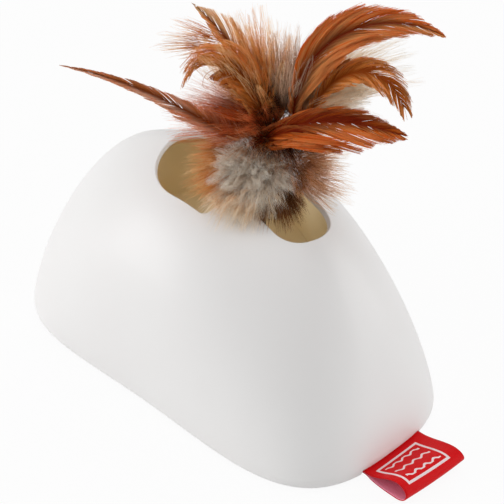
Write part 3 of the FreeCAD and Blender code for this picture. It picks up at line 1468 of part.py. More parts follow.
# Tips of the plume's three lobes, in shares of its spread along X and Y and of its height, and their girths
PLUME_TIPS = ((-0.72, 0.46, 0.87, 0.7), (0.27, 0.55, 1.07, 1.0), (1.0, 1.05, 0.66, 0.9))

# Tips of the brown down's two side lobes, in shares of its reach
DOWN_TIPS = ((-0.96, -0.36, 0.52), (0.72, 0.8, 0.12))

wand_x = D.pivot_x
low, high = D.ferrule_low, D.ferrule_high
brown_rings = [(wand_x, 0, low - 11, 3.4), (wand_x, 0, low - 4, 5.6), (wand_x, 0, low + 4, 6.6),
               (wand_x, 0, low + 10, 9.0), (wand_x + 1, 0, high + 4, 11.5), (wand_x + 2, 0, high + 13, 9.0)]
white_rings = [(wand_x - 8, -10, low + 9, 4.0), (wand_x - 9, -11, low + 14, 7.5),
               (wand_x - 8, -10, low + 21, 7.0), (wand_x - 6, -8, low + 26, 3.0)]
rod_tool = rod("z", "ferrule_radius", ("ferrule_low", "ferrule_high"), "pivot_x")
stem_tool = rod("z", "wand_radius", ("ferrule_low - 20", "ferrule_low"), "pivot_x")
down_root = V(wand_x, 0, high + 2)
brown_solid = tuft(brown_rings)
for x, y, z in DOWN_TIPS:
    brown_solid = brown_solid.fuse(lobe(down_root, down_root + V(x, y, z) * D.down_reach, D.down_girth))
brown_form = form("BrownForm", brown_solid)
brown_down = node("brown_down", cut(brown_form, rod_tool, stem_tool))
plume_root = V(wand_x + 2, 0, high + 8)
plume_lobes = []
for x, y, z, swell in PLUME_TIPS:
    tip = V(wand_x + x * D.plume_spread, y * D.plume_spread, high + z * D.plume_height)
    plume_lobes.append(lobe(plume_root, tip, D.plume_girth * swell))
plume_form = form("PlumeForm", plume_lobes[0].fuse(plume_lobes[1:]))
node("cream_plume", cut(plume_form, brown_form))
node("white_down", cut(form("WhiteForm", tuft(white_rings)), brown_form, plume_form))

# A feather begins where it leaves the down, and gives way to those before it
down_core = [brown_form, plume_form, form("WhiteCore", tuft(white_rings))]
laid = []
for label, *numbers in QUILLS:
    solid = blade(*numbers)
    for other in [item.Shape for item in down_core] + laid:
        solid = solid.cut(other)
    solid = max(solid.Solids, key=lambda part: part.Volume)
    laid.append(solid)
    node(label, form(label, solid))

# Check every object, then write each sub-part to its own file

doc.recompute()
faulty = [item.Name for item in doc.Objects if "Invalid" in item.State or "Error" in item.State]
if faulty:
    raise RuntimeError("Objects that failed: " + ", ".join(faulty))
for item in NODES:
    if item.Shape.isNull() or not item.Shape.isValid() or not item.Shape.Solids:
        raise RuntimeError("No valid solid in " + item.Label)
os.makedirs("parts", exist_ok=True)
for item in NODES:
    item.Shape.exportStep("parts/%s.step" % item.Label)
    print("%-24s %2d solids %10.1f mm3" % (item.Label, len(item.Shape.Solids), item.Shape.Volume))
print(len(NODES), "sub-parts")
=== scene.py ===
"""A feather toy for cats: a hollow white mound with a geared wand that carries feathers and down."""
import json
import logging
import math
from dataclasses import dataclass, field
from enum import Enum
from typing import Sequence

import bmesh
import bpy
import numpy as np
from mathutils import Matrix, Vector
from mathutils.geometry import delaunay_2d_cdt


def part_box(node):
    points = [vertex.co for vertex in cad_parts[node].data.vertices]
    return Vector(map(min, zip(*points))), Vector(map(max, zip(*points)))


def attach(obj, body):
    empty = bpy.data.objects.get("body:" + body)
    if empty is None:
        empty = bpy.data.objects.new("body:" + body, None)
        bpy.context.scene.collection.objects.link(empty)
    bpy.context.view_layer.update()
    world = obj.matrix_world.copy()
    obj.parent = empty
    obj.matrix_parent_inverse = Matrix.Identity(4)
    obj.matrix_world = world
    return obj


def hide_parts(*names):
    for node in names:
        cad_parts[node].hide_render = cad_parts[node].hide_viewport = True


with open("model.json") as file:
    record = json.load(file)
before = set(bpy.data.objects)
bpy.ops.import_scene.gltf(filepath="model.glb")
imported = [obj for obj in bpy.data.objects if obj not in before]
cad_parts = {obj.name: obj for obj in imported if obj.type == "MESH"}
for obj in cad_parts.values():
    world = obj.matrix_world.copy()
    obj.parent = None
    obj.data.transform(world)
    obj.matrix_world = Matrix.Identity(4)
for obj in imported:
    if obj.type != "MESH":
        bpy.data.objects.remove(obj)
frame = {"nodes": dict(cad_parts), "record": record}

MM = 0.001
# A texture's scale is this over its real size in millimetres
PER_METRE = 1000
# A wave texture of scale 1 has about this many bands in a unit
WAVE_BANDS = 3.2
TINY = 1e-6
# Corners of a hair's section, points along a down hair, steps of a quill and points along a barb
SECTION_CORNERS = 3
HAIR_POINTS = 5
QUILL_STEPS = 60
BARB_POINTS = 6
# How thick each is on the way from root to tip, as shares of its radius
HAIR_TAPER = ((0, 0.3, 1), (1.0, 0.9, 0.3))
QUILL_TAPER = ((0, 0.5, 1), (1, 0.6, 0.2))
BARB_TAPER = ((0, 0.6, 1), (1.0, 0.9, 0.35))
# The share of its map cell that a hair leaves free at each side
CELL_MARGIN = 0.2
# From the middle of the ferrule to the foot of the tuft, in millimetres
TUFT_OFFSET = np.array((2.0, 0.0, -0.5))
LOG = logging.getLogger("feather_toy")
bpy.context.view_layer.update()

Colour = tuple[float, float, float, float]


def linear(hex_colour: str) -> Colour:
    """Turns an sRGB hex colour into linear values.

    Args:
        hex_colour: Six hex digits after a hash sign.

    Returns:
        Red, green, blue and an alpha of 1.
    """
    parts = [int(hex_colour[start:start + 2], 16) / 255 for start in (1, 3, 5)]
    steps = [part / 12.92 if part <= 0.04045 else ((part + 0.055) / 1.055) ** 2.4 for part in parts]
    return (*steps, 1.0)


def add_node(tree: bpy.types.NodeTree, kind: str, inputs: dict | None = None,
             stops: Sequence[tuple[float, str]] = (), **settings) -> bpy.types.Node:
    """Adds a shader node with its settings, socket values and links.

    Args:
        tree: The material's or world's node tree.
        kind: The node's type.
        inputs: Sockets by name or number, each with a value, a hex colour or the output that feeds it.
        stops: Positions and hex colours of a colour ramp.
        settings: Properties of the node itself.

    Returns:
        The new node.
    """
    node = tree.nodes.new(kind)
    for name, value in settings.items():
        setattr(node, name, value)
    for name, value in (inputs or {}).items():
        if isinstance(value, bpy.types.NodeSocket):
            tree.links.new(value, node.inputs[name])
        else:
            node.inputs[name].default_value = linear(value) if isinstance(value, str) else value
    for place, (position, colour) in enumerate(stops):
        elements = node.color_ramp.elements
        element = elements[place] if place < 2 else elements.new(position)
        element.position = position
        element.color = linear(colour)
    return node


def new_material(name: str) -> tuple[bpy.types.Material, bpy.types.NodeTree]:
    """Makes an empty node material.

    Args:
        name: The material's name.

    Returns:
        The material and its node tree.
    """
    material = bpy.data.materials.new(name)
    material.use_nodes = True
    material.node_tree.nodes.clear()
    return material, material.node_tree


def end_material(tree: bpy.types.NodeTree, shader: bpy.types.Node) -> None:
    """Links a shader to the material's output.

    Args:
        tree: The material's node tree.
        shader: The last shader node.
    """
    add_node(tree, "ShaderNodeOutputMaterial", {"Surface": shader.outputs[0]})


@dataclass(frozen=True)
class MouldedPlastic:
    """Moulded ABS, nylon, epoxy or lead jacket: an even colour with a fine grain and soft flow marks."""

    name: str
    colour: str
    flow_colour: str
    roughness: float
    grain_mm: float = 0.5
    grain_depth_mm: float = 0.012
    flow_mm: float = 28.0
    ior: float = 1.53
    coat: float = 0.0

    def build(self) -> bpy.types.Material:
        """Makes the material."""
        material, tree = new_material(self.name)
        place = add_node(tree, "ShaderNodeTexCoord").outputs["Object"]
        flow = add_node(tree, "ShaderNodeTexNoise", {"Vector": place, "Scale": PER_METRE / self.flow_mm,
                                                     "Detail": 2.0, "Roughness": 0.45})
        tint = add_node(tree, "ShaderNodeValToRGB", {"Fac": flow.outputs[0]},
                        stops=((0.3, self.colour), (0.75, self.flow_colour)))
        grain = add_node(tree, "ShaderNodeTexNoise", {"Vector": place, "Scale": PER_METRE / self.grain_mm,
                                                      "Detail": 3.0, "Roughness": 0.6})
        sheen = add_node(tree, "ShaderNodeMapRange",
                         {"Value": flow.outputs[0], "To Min": self.roughness - 0.04,
                          "To Max": self.roughness + 0.05})
        bump = add_node(tree, "ShaderNodeBump", {"Height": grain.outputs[0], "Strength": 0.35,
                                                 "Distance": self.grain_depth_mm * MM})
        shader = add_node(tree, "ShaderNodeBsdfPrincipled",
                          {"Base Color": tint.outputs[0], "Roughness": sheen.outputs[0], "IOR": self.ior,
                           "Coat Weight": self.coat, "Coat Roughness": 0.12, "Normal": bump.outputs[0]})
        end_material(tree, shader)
        return material


@dataclass(frozen=True)
class TurnedMetal:
    """Drawn or turned metal: fine lines along one axis, which stretch its highlights."""

    name: str
    colour: str
    dull_colour: str
    roughness: float
    line_mm: float = 0.25
    line_depth_mm: float = 0.01
    tarnish_mm: float = 6.0
    along: tuple[float, float, float] = (1.0, 0.04, 1.0)

    def build(self) -> bpy.types.Material:
        """Makes the material."""
        material, tree = new_material(self.name)
        place = add_node(tree, "ShaderNodeTexCoord").outputs["Object"]
        stretched = add_node(tree, "ShaderNodeMapping", {"Vector": place, "Scale": self.along})
        lines = add_node(tree, "ShaderNodeTexNoise",
                         {"Vector": stretched.outputs[0], "Scale": PER_METRE / self.line_mm, "Detail": 4.0,
                          "Roughness": 0.6})
        tarnish = add_node(tree, "ShaderNodeTexNoise",
                           {"Vector": place, "Scale": PER_METRE / self.tarnish_mm, "Detail": 3.0})
        tint = add_node(tree, "ShaderNodeValToRGB", {"Fac": tarnish.outputs[0]},
                        stops=((0.35, self.colour), (0.8, self.dull_colour)))
        gloss = add_node(tree, "ShaderNodeMapRange",
                         {"Value": lines.outputs[0], "To Min": self.roughness - 0.08,
                          "To Max": self.roughness + 0.12})
        bump = add_node(tree, "ShaderNodeBump", {"Height": lines.outputs[0], "Strength": 0.3,
                                                 "Distance": self.line_depth_mm * MM})
        shader = add_node(tree, "ShaderNodeBsdfPrincipled",
                          {"Base Color": tint.outputs[0], "Metallic": 1.0, "Roughness": gloss.outputs[0],
                           "Normal": bump.outputs[0]})
        end_material(tree, shader)
        return material


@dataclass(frozen=True)
class SolderMask:
    """A circuit board's lacquer: glossy green over raised copper tracks, which show as lighter lines."""

    name: str = "board_lacquer"
    colour: str = "#1E5A34"
    track_colour: str = "#2F7A46"
    track_mm: float = 3.2
    track_height_mm: float = 0.035

    def build(self) -> bpy.types.Material:
        """Makes the material."""
        material, tree = new_material(self.name)
        place = add_node(tree, "ShaderNodeTexCoord").outputs["Object"]
        tracks = add_node(tree, "ShaderNodeTexBrick",
                          {"Vector": place, "Color1": self.colour, "Color2": self.colour,
                           "Mortar": self.track_colour, "Scale": PER_METRE / self.track_mm,
                           "Mortar Size": 0.07, "Mortar Smooth": 0.2, "Brick Width": 0.9,
                           "Row Height": 0.35})
        bump = add_node(tree, "ShaderNodeBump", {"Height": tracks.outputs["Fac"], "Strength": 0.4,
                                                 "Distance": self.track_height_mm * MM})
        shader = add_node(tree, "ShaderNodeBsdfPrincipled",
                          {"Base Color": tracks.outputs["Color"], "Roughness": 0.28, "Coat Weight": 0.4,
                           "Normal": bump.outputs[0]})
        end_material(tree, shader)
        return material


@dataclass(frozen=True)
class CellWrap:
    """A dry cell's printed foil: a dark sleeve with one band in another colour at an end."""

    name: str = "cell_sleeve"
    sleeve: str = "#23262B"
    band: str = "#C9852F"
    band_start_mm: float = -40.0
    crease_mm: float = 1.5
    crease_depth_mm: float = 0.03

    def build(self) -> bpy.types.Material:
        """Makes the material."""
        material, tree = new_material(self.name)
        place = add_node(tree, "ShaderNodeTexCoord").outputs["Object"]
        parts = add_node(tree, "ShaderNodeSeparateXYZ", {"Vector": place})
        edge = add_node(tree, "ShaderNodeMath", {0: parts.outputs["X"], 1: self.band_start_mm * MM},
                        operation="GREATER_THAN")
        tint = add_node(tree, "ShaderNodeMix", {0: edge.outputs[0], 6: self.sleeve, 7: self.band},
                        data_type="RGBA")
        crease = add_node(tree, "ShaderNodeTexNoise",
                          {"Vector": place, "Scale": PER_METRE / self.crease_mm, "Detail": 2.0})
        bump = add_node(tree, "ShaderNodeBump", {"Height": crease.outputs[0], "Strength": 0.2,
                                                 "Distance": self.crease_depth_mm * MM})
        shader = add_node(tree, "ShaderNodeBsdfPrincipled",
                          {"Base Color": tint.outputs[2], "Roughness": 0.3, "Metallic": 0.35,
                           "Normal": bump.outputs[0]})
        end_material(tree, shader)
        return material


@dataclass(frozen=True)
class MouldedRubber:
    """Moulded rubber or soft vinyl: matt, with a fine speckle that scatters the light."""

    name: str
    colour: str
    worn_colour: str
    roughness: float = 0.75
    speckle_mm: float = 0.4
    speckle_depth_mm: float = 0.04

    def build(self) -> bpy.types.Material:
        """Makes the material."""
        material, tree = new_material(self.name)
        place = add_node(tree, "ShaderNodeTexCoord").outputs["Object"]
        speckle = add_node(tree, "ShaderNodeTexNoise",
                           {"Vector": place, "Scale": PER_METRE / self.speckle_mm, "Detail": 4.0})
        tint = add_node(tree, "ShaderNodeValToRGB", {"Fac": speckle.outputs[0]},
                        stops=((0.4, self.colour), (0.7, self.worn_colour)))
        bump = add_node(tree, "ShaderNodeBump", {"Height": speckle.outputs[0], "Strength": 0.5,
                                                 "Distance": self.speckle_depth_mm * MM})
        shader = add_node(tree, "ShaderNodeBsdfPrincipled",
                          {"Base Color": tint.outputs[0], "Roughness": self.roughness,
                           "Normal": bump.outputs[0]})
        end_material(tree, shader)
        return material


@dataclass(frozen=True)
class WovenRibbon:
    """Woven polyester satin ribbon: fine crosswise threads with a soft sheen, and a white woven figure."""

    name: str
    colour: str
    thread_colour: str
    figure_colour: str
    width_mm: float
    length_mm: float
    thread_mm: float = 0.55
    thread_depth_mm: float = 0.06
    figure_start_mm: float = 10.4
    figure_end_mm: float = 28.8
    figure_margins_mm: tuple[float, float] = (3.4, 6.2)
    line_mm: float = 1.1
    gap_lines: float = 2.4
    wave_pitch_mm: float = 2.9
    wave_depth_mm: float = 0.7
    wave_length_mm: float = 5.2
    with_figure: bool = True

    def build(self) -> bpy.types.Material:
        """Makes the material."""
        material, tree = new_material(self.name)
        uv = add_node(tree, "ShaderNodeUVMap", uv_map="Ribbon")
        sized = add_node(tree, "ShaderNodeVectorMath",
                         {0: uv.outputs[0], 1: (self.length_mm, self.width_mm, 0.0)}, operation="MULTIPLY")
        parts = add_node(tree, "ShaderNodeSeparateXYZ", {"Vector": sized.outputs[0]})
        warp = add_node(tree, "ShaderNodeTexWave",
                        {"Vector": sized.outputs[0], "Scale": 1 / self.thread_mm / WAVE_BANDS,
                         "Distortion": 0.6, "Detail": 1.0}, bands_direction="X")
        weft = add_node(tree, "ShaderNodeTexWave",
                        {"Vector": sized.outputs[0], "Scale": 2 / self.thread_mm / WAVE_BANDS,
                         "Distortion": 0.4, "Detail": 1.0}, bands_direction="Y")
        weave = add_node(tree, "ShaderNodeMath", {0: warp.outputs[1], 1: weft.outputs[1]}, operation="ADD")
        cloth = add_node(tree, "ShaderNodeMix", {0: weft.outputs[1], 6: self.colour, 7: self.thread_colour},
                         data_type="RGBA").outputs[2]
        if self.with_figure:
            figure = self.figure(tree, parts.outputs["X"], parts.outputs["Y"])
            cloth = add_node(tree, "ShaderNodeMix", {0: figure, 6: cloth, 7: self.figure_colour},
                             data_type="RGBA").outputs[2]
        bump = add_node(tree, "ShaderNodeBump", {"Height": weave.outputs[0], "Strength": 0.45,
                                                 "Distance": self.thread_depth_mm * MM})
        shader = add_node(tree, "ShaderNodeBsdfPrincipled",
                          {"Base Color": cloth, "Roughness": 0.55, "Specular IOR Level": 0.16,
                           "Sheen Weight": 0.06, "Sheen Roughness": 0.35, "Normal": bump.outputs[0]})
        end_material(tree, shader)
        return material

    def figure(self, tree: bpy.types.NodeTree, along: bpy.types.NodeSocket,
               across: bpy.types.NodeSocket) -> bpy.types.NodeSocket:
        """Draws a plain white border with three wavy lines inside it.

        Args:
            tree: The material's node tree.
            along: The distance along the ribbon in millimetres.
            across: The distance across the ribbon in millimetres.

        Returns:
            An output that is 1 on the white threads and 0 elsewhere.
        """
        middle_along = (self.figure_start_mm + self.figure_end_mm) / 2
        half_along = (self.figure_end_mm - self.figure_start_mm) / 2
        near, far = self.figure_margins_mm[0], self.width_mm - self.figure_margins_mm[1]
        reach = []
        spans = ((along, middle_along, half_along), (across, (near + far) / 2, (far - near) / 2))
        for line, middle, half in spans:
            offset = add_node(tree, "ShaderNodeMath", {0: line, 1: middle}, operation="SUBTRACT")
            size = add_node(tree, "ShaderNodeMath", {0: offset.outputs[0]}, operation="ABSOLUTE")
            reach.append(add_node(tree, "ShaderNodeMath", {0: size.outputs[0], 1: half},
                                  operation="SUBTRACT"))
        edge = add_node(tree, "ShaderNodeMath", {0: reach[0].outputs[0], 1: reach[1].outputs[0]},
                        operation="MAXIMUM")
        border = add_node(tree, "ShaderNodeMath", {0: edge.outputs[0], 1: -self.line_mm / 2,
                                                   2: self.line_mm / 2}, operation="COMPARE")
        ripple = add_node(tree, "ShaderNodeMath", {0: across, 1: 2 * math.pi / self.wave_length_mm},
                          operation="MULTIPLY")
        swing = add_node(tree, "ShaderNodeMath", {0: ripple.outputs[0]}, operation="SINE")
        lifted = add_node(tree, "ShaderNodeMath", {0: swing.outputs[0], 1: self.wave_depth_mm, 2: along},
                          operation="MULTIPLY_ADD")
        shifted = add_node(tree, "ShaderNodeMath", {0: lifted.outputs[0], 1: middle_along},
                           operation="SUBTRACT")
        folded = add_node(tree, "ShaderNodeMath", {0: shifted.outputs[0], 1: self.wave_pitch_mm},
                          operation="PINGPONG")
        waves = add_node(tree, "ShaderNodeMath", {0: folded.outputs[0], 1: 0.0, 2: self.line_mm / 2},
                         operation="COMPARE")
        inside = add_node(tree, "ShaderNodeMath", {0: edge.outputs[0], 1: -self.gap_lines * self.line_mm},
                          operation="LESS_THAN")
        wavy = add_node(tree, "ShaderNodeMath", {0: waves.outputs[0], 1: inside.outputs[0]},
                        operation="MULTIPLY")
        return add_node(tree, "ShaderNodeMath", {0: border.outputs[0], 1: wavy.outputs[0]},
                        operation="MAXIMUM").outputs[0]


@dataclass(frozen=True)
class Keratin:
    """Feather and down: matt strands that let some light through, no two of quite the same tone."""

    name: str
    root: str
    tones: tuple[str, str, str]
    tip: str
    tip_share: float = 0.5
    foot: str | None = None
    foot_reach: float = 0.3
    foot_share: float = 0.85
    root_reach: float = 0.45
    tip_start: float = 0.5
    through: float = 0.5
    roughness: float = 0.5
    sheen: float = 0.0

    def build(self) -> bpy.types.Material:
        """Makes the material."""
        material, tree = new_material(self.name)
        along = add_node(tree, "ShaderNodeAttribute", attribute_name="along").outputs["Fac"]
        shade = add_node(tree, "ShaderNodeAttribute", attribute_name="shade").outputs["Fac"]
        dark, middle, light = self.tones
        colour = add_node(tree, "ShaderNodeValToRGB", {"Fac": shade},
                          stops=((0.1, dark), (0.9, light), (0.5, middle))).outputs[0]
        blends = [(along, 0.0, self.root_reach, 1.0, 0.0, self.root),
                  (along, self.tip_start, 1.0, 0.0, self.tip_share, self.tip)]
        if self.foot:
            place = add_node(tree, "ShaderNodeAttribute", attribute_name="place").outputs["Fac"]
            blends.append((place, 0.0, self.foot_reach, self.foot_share, 0.0, self.foot))
        for value, start, end, first, last, other in blends:
            share = add_node(tree, "ShaderNodeMapRange", {"Value": value, "From Min": start, "From Max": end,
                                                          "To Min": first, "To Max": last})
            colour = add_node(tree, "ShaderNodeMix", {0: share.outputs[0], 6: colour, 7: other},
                              data_type="RGBA").outputs[2]
        body = add_node(tree, "ShaderNodeBsdfPrincipled",
                        {"Base Color": colour, "Roughness": self.roughness, "Specular IOR Level": 0.12,
                         "Sheen Weight": self.sheen, "Sheen Roughness": 0.5})
        glow = add_node(tree, "ShaderNodeBsdfTranslucent", {"Color": colour})
        shader = add_node(tree, "ShaderNodeMixShader",
                          {0: self.through, 1: body.outputs[0], 2: glow.outputs[0]})
        end_material(tree, shader)
        return material


@dataclass(frozen=True)
class StudioFloor:
    """White seamless paper: it shows white to the camera and keeps a soft shadow."""

    name: str = "seamless_paper"
    colour: str = "#F0F0F0"
    white_share: float = 0.93
    fibre_mm: float = 2.0
    fibre_depth_mm: float = 0.02

    def build(self) -> bpy.types.Material:
        """Makes the material."""
        material, tree = new_material(self.name)
        place = add_node(tree, "ShaderNodeTexCoord").outputs["Object"]
        fibre = add_node(tree, "ShaderNodeTexNoise",
                         {"Vector": place, "Scale": PER_METRE / self.fibre_mm, "Detail": 3.0})
        bump = add_node(tree, "ShaderNodeBump", {"Height": fibre.outputs[0], "Strength": 0.1,
                                                 "Distance": self.fibre_depth_mm * MM})
        paper = add_node(tree, "ShaderNodeBsdfDiffuse", {"Color": self.colour, "Normal": bump.outputs[0]})
        white = add_node(tree, "ShaderNodeEmission", {"Color": (1.0, 1.0, 1.0, 1.0), "Strength": 1.0})
        rays = add_node(tree, "ShaderNodeLightPath")
        seen = add_node(tree, "ShaderNodeMath", {0: rays.outputs["Is Camera Ray"],
                                                 1: rays.outputs["Is Glossy Ray"]}, operation="MAXIMUM")
        through = add_node(tree, "ShaderNodeMath",
                           {0: seen.outputs[0], 1: rays.outputs["Is Transmission Ray"]}, operation="MAXIMUM")
        share = add_node(tree, "ShaderNodeMath", {0: through.outputs[0], 1: self.white_share},
                         operation="MULTIPLY")
        shader = add_node(tree, "ShaderNodeMixShader", {0: share.outputs[0], 1: paper.outputs[0],
                                                        2: white.outputs[0]})
        end_material(tree, shader)
        return material


@dataclass(frozen=True)
class Lamp:
    """A soft box: its place, what it faces and its size in millimetres, and its power in watts."""

    name: str
    place: tuple[float, float, float]
    aim: tuple[float, float, float]
    size: float
    watts: float

    def build(self) -> None:
        """Makes the lamp."""
        light = bpy.data.lights.new(self.name, "AREA")
        light.shape = "SQUARE"
        light.size = self.size * MM
        light.energy = self.watts
        lamp = bpy.data.objects.new(self.name, light)
        bpy.context.scene.collection.objects.link(lamp)
        lamp.location = Vector(self.place) * MM
        way = Vector(self.aim) - Vector(self.place)
        lamp.rotation_euler = way.to_track_quat("-Z", "Y").to_euler()


@dataclass(frozen=True)
class Studio:
    """The camera at the photograph's viewpoint, the white paper floor and the soft boxes."""

    azimuth: float = 44.987
    elevation: float = 35.011
    distance: float = 635.228
    target: tuple[float, float, float] = (5.923, 10.828, 50.577)
    focal_pixels: float = 1487.594
    image_pixels: float = 504.0
    sensor: float = 36.0
    floor_size: float = 6000.0
    ambient: float = 0.29
    lamps: tuple[Lamp, ...] = (
        Lamp("left_soft_box", (-900, -1100, 420), (0, 0, 40), 1050, 12.2),
        Lamp("right_soft_box", (900, 900, 450), (0, 0, 40), 850, 5.0),
        Lamp("top_soft_box", (0, 100, 1500), (0, 0, 40), 1000, 2.8),
        Lamp("back_soft_box", (-600, 700, 1100), (0, 0, 100), 800, 3.0),
        Lamp("key_soft_box", (350, -450, 1300), (0, 0, 60), 600, 2.1),
        Lamp("end_soft_box", (1300, -100, 500), (0, 0, 40), 900, 1.6),
    )

    def back(self) -> Vector:
        """The direction from the toy to the camera."""
        turn, lift = math.radians(self.azimuth), math.radians(self.elevation)
        return Vector((math.sin(turn) * math.cos(lift), -math.cos(turn) * math.cos(lift), math.sin(lift)))

    def right(self) -> Vector:
        """The photograph's rightward direction."""
        turn = math.radians(self.azimuth)
        return Vector((math.cos(turn), math.sin(turn), 0.0))

    def up(self) -> Vector:
        """The photograph's upward direction."""
        return self.back().cross(self.right())

    def build(self) -> None:
        """Makes the camera, the floor, the backdrop and the lamps."""
        scene = bpy.context.scene
        scene.view_settings.view_transform = "Standard"
        camera_data = bpy.data.cameras.new("viewpoint")
        camera_data.sensor_width = self.sensor
        camera_data.lens = self.sensor * self.focal_pixels / self.image_pixels
        camera_data.clip_start = 0.01
        camera = bpy.data.objects.new("viewpoint", camera_data)
        scene.collection.objects.link(camera)
        camera.location = (Vector(self.target) + self.back() * self.distance) * MM
        camera.rotation_euler = (-self.back()).to_track_quat("-Z", "Y").to_euler()
        scene.camera = camera
        for lamp in self.lamps:
            lamp.build()
        self.build_floor()
        self.build_world(scene)

    def build_floor(self) -> None:
        """Makes the floor under the feet."""
        mesh = bmesh.new()
        bmesh.ops.create_grid(mesh, x_segments=1, y_segments=1, size=self.floor_size / 2 * MM)
        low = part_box("rubber_feet")[0].z
        bmesh.ops.translate(mesh, verts=mesh.verts, vec=(0, 0, low))
        floor = finish_mesh("floor", mesh, [StudioFloor().build()])

    def build_world(self, scene: bpy.types.Scene) -> None:
        """Makes the white surroundings.

        Args:
            scene: The scene that gets the world.
        """
        world = bpy.data.worlds.new("white_room")
        world.use_nodes = True
        tree = world.node_tree
        tree.nodes.clear()
        rays = add_node(tree, "ShaderNodeLightPath")
        seen = add_node(tree, "ShaderNodeMath",
                        {0: rays.outputs["Is Camera Ray"], 1: rays.outputs["Is Transmission Ray"]},
                        operation="MAXIMUM")
        strength = add_node(tree, "ShaderNodeMapRange", {"Value": seen.outputs[0], "To Min": self.ambient,
                                                         "To Max": 1.0})
        sky = add_node(tree, "ShaderNodeBackground", {"Color": (1.0, 1.0, 1.0, 1.0),
                                                      "Strength": strength.outputs[0]})
        add_node(tree, "ShaderNodeOutputWorld", {"Surface": sky.outputs[0]})
        scene.world = world


def finish_mesh(name: str, mesh: bmesh.types.BMesh,
                materials: Sequence[bpy.types.Material]) -> bpy.types.Object:
    """Turns a bmesh into a smooth-shaded object of the scene.

    Args:
        name: The object's name.
        mesh: The bmesh, which is freed.
        materials: The materials of its slots.

    Returns:
        The new object, at the origin.
    """
    data = bpy.data.meshes.new(name)
    mesh.to_mesh(data)
    mesh.free()
    data.polygons.foreach_set("use_smooth", [True] * len(data.polygons))
    for material in materials:
        data.materials.append(material)
    piece = bpy.data.objects.new(name, data)
    bpy.context.scene.collection.objects.link(piece)
    return piece


